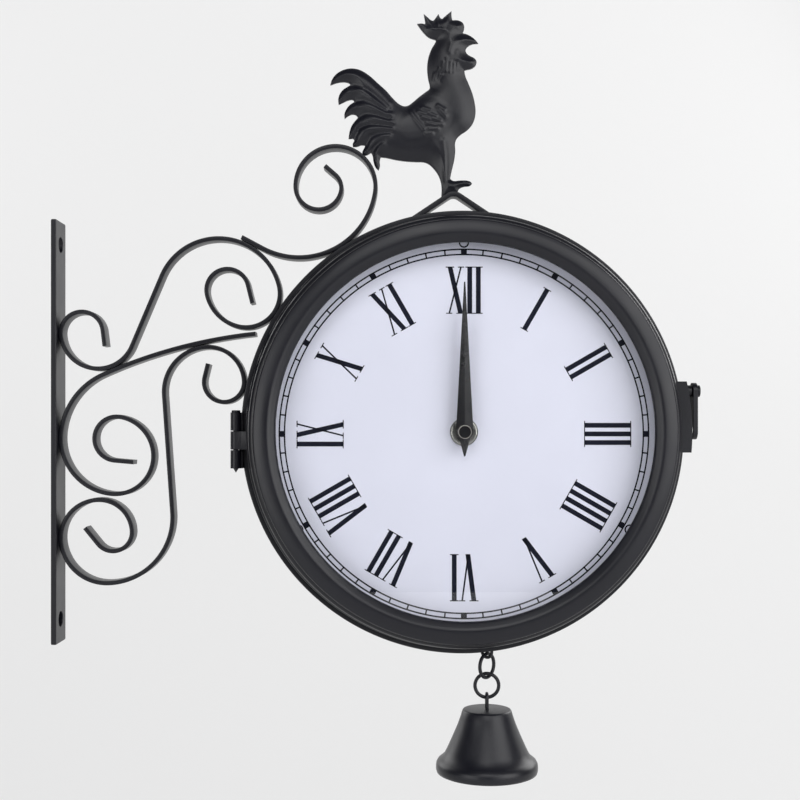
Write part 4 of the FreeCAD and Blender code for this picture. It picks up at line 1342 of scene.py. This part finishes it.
    def figure(self) -> bpy.types.Object:
        """The relief on a grid of cells: points near the outline snap onto it, those outside fall away.

        A cell with all four corners left is a square, one with three a triangle. Both sides share the grid,
        at y = -h and y = +h, and squares along the outline join them.

        Returns:
            The piece.
        """
        drawn = [*self.comb, *self.beak, *self.breast, *self.leg, *self.belly, *self.tail, *self.back]
        outline = spline_round(self.placed(drawn), self.outline_steps)
        low, high = outline.min(0) - self.cell, outline.max(0) + self.cell
        count = np.ceil((high - low) / self.cell).astype(int) + 1
        x, z = np.meshgrid(*[low[k] + self.cell * np.arange(count[k]) for k in (0, 1)], indexing="ij")
        spots = np.stack([x, z], -1).reshape(-1, 2)
        gap, foot, within = nearest_on(outline, spots, True)
        rim = gap < self.snap * self.cell
        kept = within | rim
        spots = np.where(rim[:, None], foot, spots)
        number = np.cumsum(kept) - 1
        cells = grid_faces(count[0], count[1], False, False)
        left = kept[cells].sum(1)
        squares = number[cells[left == 4]]
        torn = cells[left == 3]
        triangles = number[torn[kept[torn]].reshape(-1, 3)]
        half = self.relief(spots[kept], np.where(rim, 0, gap)[kept])
        flat = spots[kept]
        sides = [np.stack([flat[:, 0], way * half, flat[:, 1]], -1) for way in (-1, 1)]
        apart = len(half)
        ways = np.concatenate([squares[:, [k, (k + 1) % 4]] for k in range(4)]
                              + [triangles[:, [k, (k + 1) % 3]] for k in range(3)])
        same, times = np.unique(np.sort(ways, 1), axis=0, return_counts=True)
        border = same[times == 1]
        walls = np.column_stack([border, border[:, ::-1] + apart])
        both = [np.concatenate([faces, faces + apart]) for faces in (squares, triangles)]
        piece = make_piece("rooster_casting", np.concatenate(sides), *both, walls, crease=self.crease)
        return settle(piece, "bracket", "rooster")


@dataclass
class Studio:
    """Pale sweep, soft lamps and the photograph's camera."""

    focal_px: float = 1186.0
    frame_px: float = 800.0
    eye: Spot = (0.19, -0.66, 0.0)
    axis_px: tuple[float, float] = (397.0, 432.0)
    floor_level: float = -0.62
    back: float = 0.9
    pale: float = 1.04
    dim: float = 0.84
    lit_share: float = 0.25
    floor_color: tuple[float, float, float, float] = (0.8, 0.8, 0.8, 1.0)
    floor_roughness: float = 0.9
    floor_front: float = -4.0
    floor_half: float = 5.0
    wall_height: float = 4.0
    bend_radius: float = 0.6
    bend_points: int = 24
    bend_crease: float = 80.0
    painted_falloff_start: Spot = (0.3, 0.0, 0.42)
    painted_falloff_rate: Spot = (0.25, 0.0, 0.6)
    painted_falloff_end: float = 1.6
    room_color: tuple[float, float, float, float] = (0.9, 0.93, 1.0, 1.0)
    room_strength: float = 0.08
    sensor: float = 36.0
    aim: Spot = (0.2, 0.0, 0.0)
    lamps: dict[str, tuple[Spot, float, float]] = field(default_factory=lambda: {
        "key_softbox": ((1.4, -1.2, 0.45), 1.5, 22.0),
        "front_softbox": ((0.1, -1.6, 1.2), 1.0, 10.0),
        "fill_softbox": ((-1.1, -1.5, 0.1), 1.1, 10.0),
        "low_softbox": ((0.3, -1.5, -1.1), 0.9, 4.0),
        "right_rear_softbox": ((1.4, 1.0, 0.7), 1.0, 9.0),
        "left_rear_softbox": ((-1.1, 1.1, 0.5), 1.0, 6.0)})

    def build(self) -> None:
        """Set the stage, the world, the lamps and the camera."""
        self.sweep()
        self.world()
        for name, (place, size, power) in self.lamps.items():
            self.lamp(name, place, size, power)
        self.camera()
        bpy.context.scene.view_settings.view_transform = "Standard"

    def sweep(self) -> None:
        """Floor curving up to a backdrop: a profile in YZ, a quarter circle between two runs, along X."""
        curve, radius = np.linspace(0, math.pi / 2, self.bend_points), self.bend_radius
        y = np.concatenate([[self.floor_front], self.back + radius * np.sin(curve), [self.back + radius]])
        z = np.concatenate([[0.0], radius * (1 - np.cos(curve)), [self.wall_height]]) + self.floor_level
        x = np.array([-self.floor_half, self.floor_half])
        grid = np.stack([x[None, :] + 0 * y[:, None], y[:, None] + 0 * x, z[:, None] + 0 * x], -1)
        piece = make_piece("pale_sweep", *sheet(grid), solid=False, crease=self.bend_crease)
        piece.data.materials.append(self.paper())

    def paper(self) -> bpy.types.Material:
        """Lit paper, shown to the camera, gloss and glass mostly as a glow with painted light falloff,
        paler up and right.

        Returns:
            The material.
        """
        material, hand, shader = new_material("pale_paper")
        hand.fit(shader, Base_Color=self.floor_color, Roughness=self.floor_roughness)
        # Painted shade on the backdrop: the glow dims towards the lower left and pales up and right, as
        # uneven light would fall on it.
        place = hand.add("ShaderNodeTexCoord").outputs["Object"]
        lie = hand.add("ShaderNodeMapping", place, Location=self.painted_falloff_start, Scale=self.painted_falloff_rate)
        split = hand.add("ShaderNodeSeparateXYZ", lie.outputs["Vector"]).outputs
        total = hand.reckon("ADD", split["X"], split["Z"])
        shade = hand.add("ShaderNodeMapRange", total, From_Min=0.0, From_Max=self.painted_falloff_end, To_Min=self.dim,
                         To_Max=self.pale)
        glow = hand.add("ShaderNodeEmission", shade.outputs["Result"]).outputs["Emission"]
        ray = hand.add("ShaderNodeLightPath").outputs
        through = hand.reckon("MAXIMUM", ray["Is Glossy Ray"], ray["Is Transmission Ray"])
        seen = hand.reckon("MAXIMUM", ray["Is Camera Ray"], through)
        share = hand.reckon("MULTIPLY", seen, 1 - self.lit_share)
        hand.show("Material Output", share, shader.outputs["BSDF"], glow)
        return material

    def world(self) -> None:
        """Even pale light from all round, brighter where the camera looks straight at it."""
        world = bpy.data.worlds.new("pale_room")
        world.use_nodes = True
        hand = Nodes(world.node_tree)
        room = world.node_tree.nodes["Background"]
        hand.fit(room, Color=self.room_color, Strength=self.room_strength)
        shown = hand.add("ShaderNodeBackground", self.floor_color).outputs["Background"]
        seen = hand.add("ShaderNodeLightPath").outputs["Is Camera Ray"]
        hand.show("World Output", seen, room.outputs["Background"], shown)
        bpy.context.scene.world = world

    def lamp(self, name: str, place: Spot, size: float, power: float) -> None:
        """One square soft lamp that faces the clock.

        Args:
            name: its name.
            place: where it stands.
            size: length of its side.
            power: its power in watts.
        """
        data = bpy.data.lights.new(name, "AREA")
        data.size = size
        data.energy = power
        lamp = bpy.data.objects.new(name, data)
        lamp.location = place
        lamp.rotation_euler = (Vector(self.aim) - Vector(place)).to_track_quat("-Z", "Y").to_euler()
        bpy.context.scene.collection.objects.link(lamp)

    def camera(self) -> None:
        """A level camera that looks along +Y, shifted so that its axis falls on axis_px."""
        data = bpy.data.cameras.new("photo_camera")
        data.sensor_width = self.sensor
        data.lens = data.sensor_width * self.focal_px / self.frame_px
        data.shift_x = (self.frame_px / 2 - self.axis_px[0]) / self.frame_px
        data.shift_y = (self.axis_px[1] - self.frame_px / 2) / self.frame_px
        camera = bpy.data.objects.new("photo_camera", data)
        camera.location = self.eye
        camera.rotation_euler = (math.pi / 2, 0, 0)
        bpy.context.scene.collection.objects.link(camera)
        bpy.context.scene.camera = camera


def main() -> None:
    """Build every sub-assembly in order, then the studio."""
    logging.basicConfig(level=logging.INFO, format="%(name)s: %(message)s")
    finishes = Finishes()
    for assembly in (Bracket(), Drum(), DialPrint(), Hands(), Works(), HingeAndLatch(), Bell(), Rooster()):
        assembly.build(finishes)
        log.info("built %s", type(assembly).__name__)
    Studio().build()


if __name__ == "__main__":
    main()
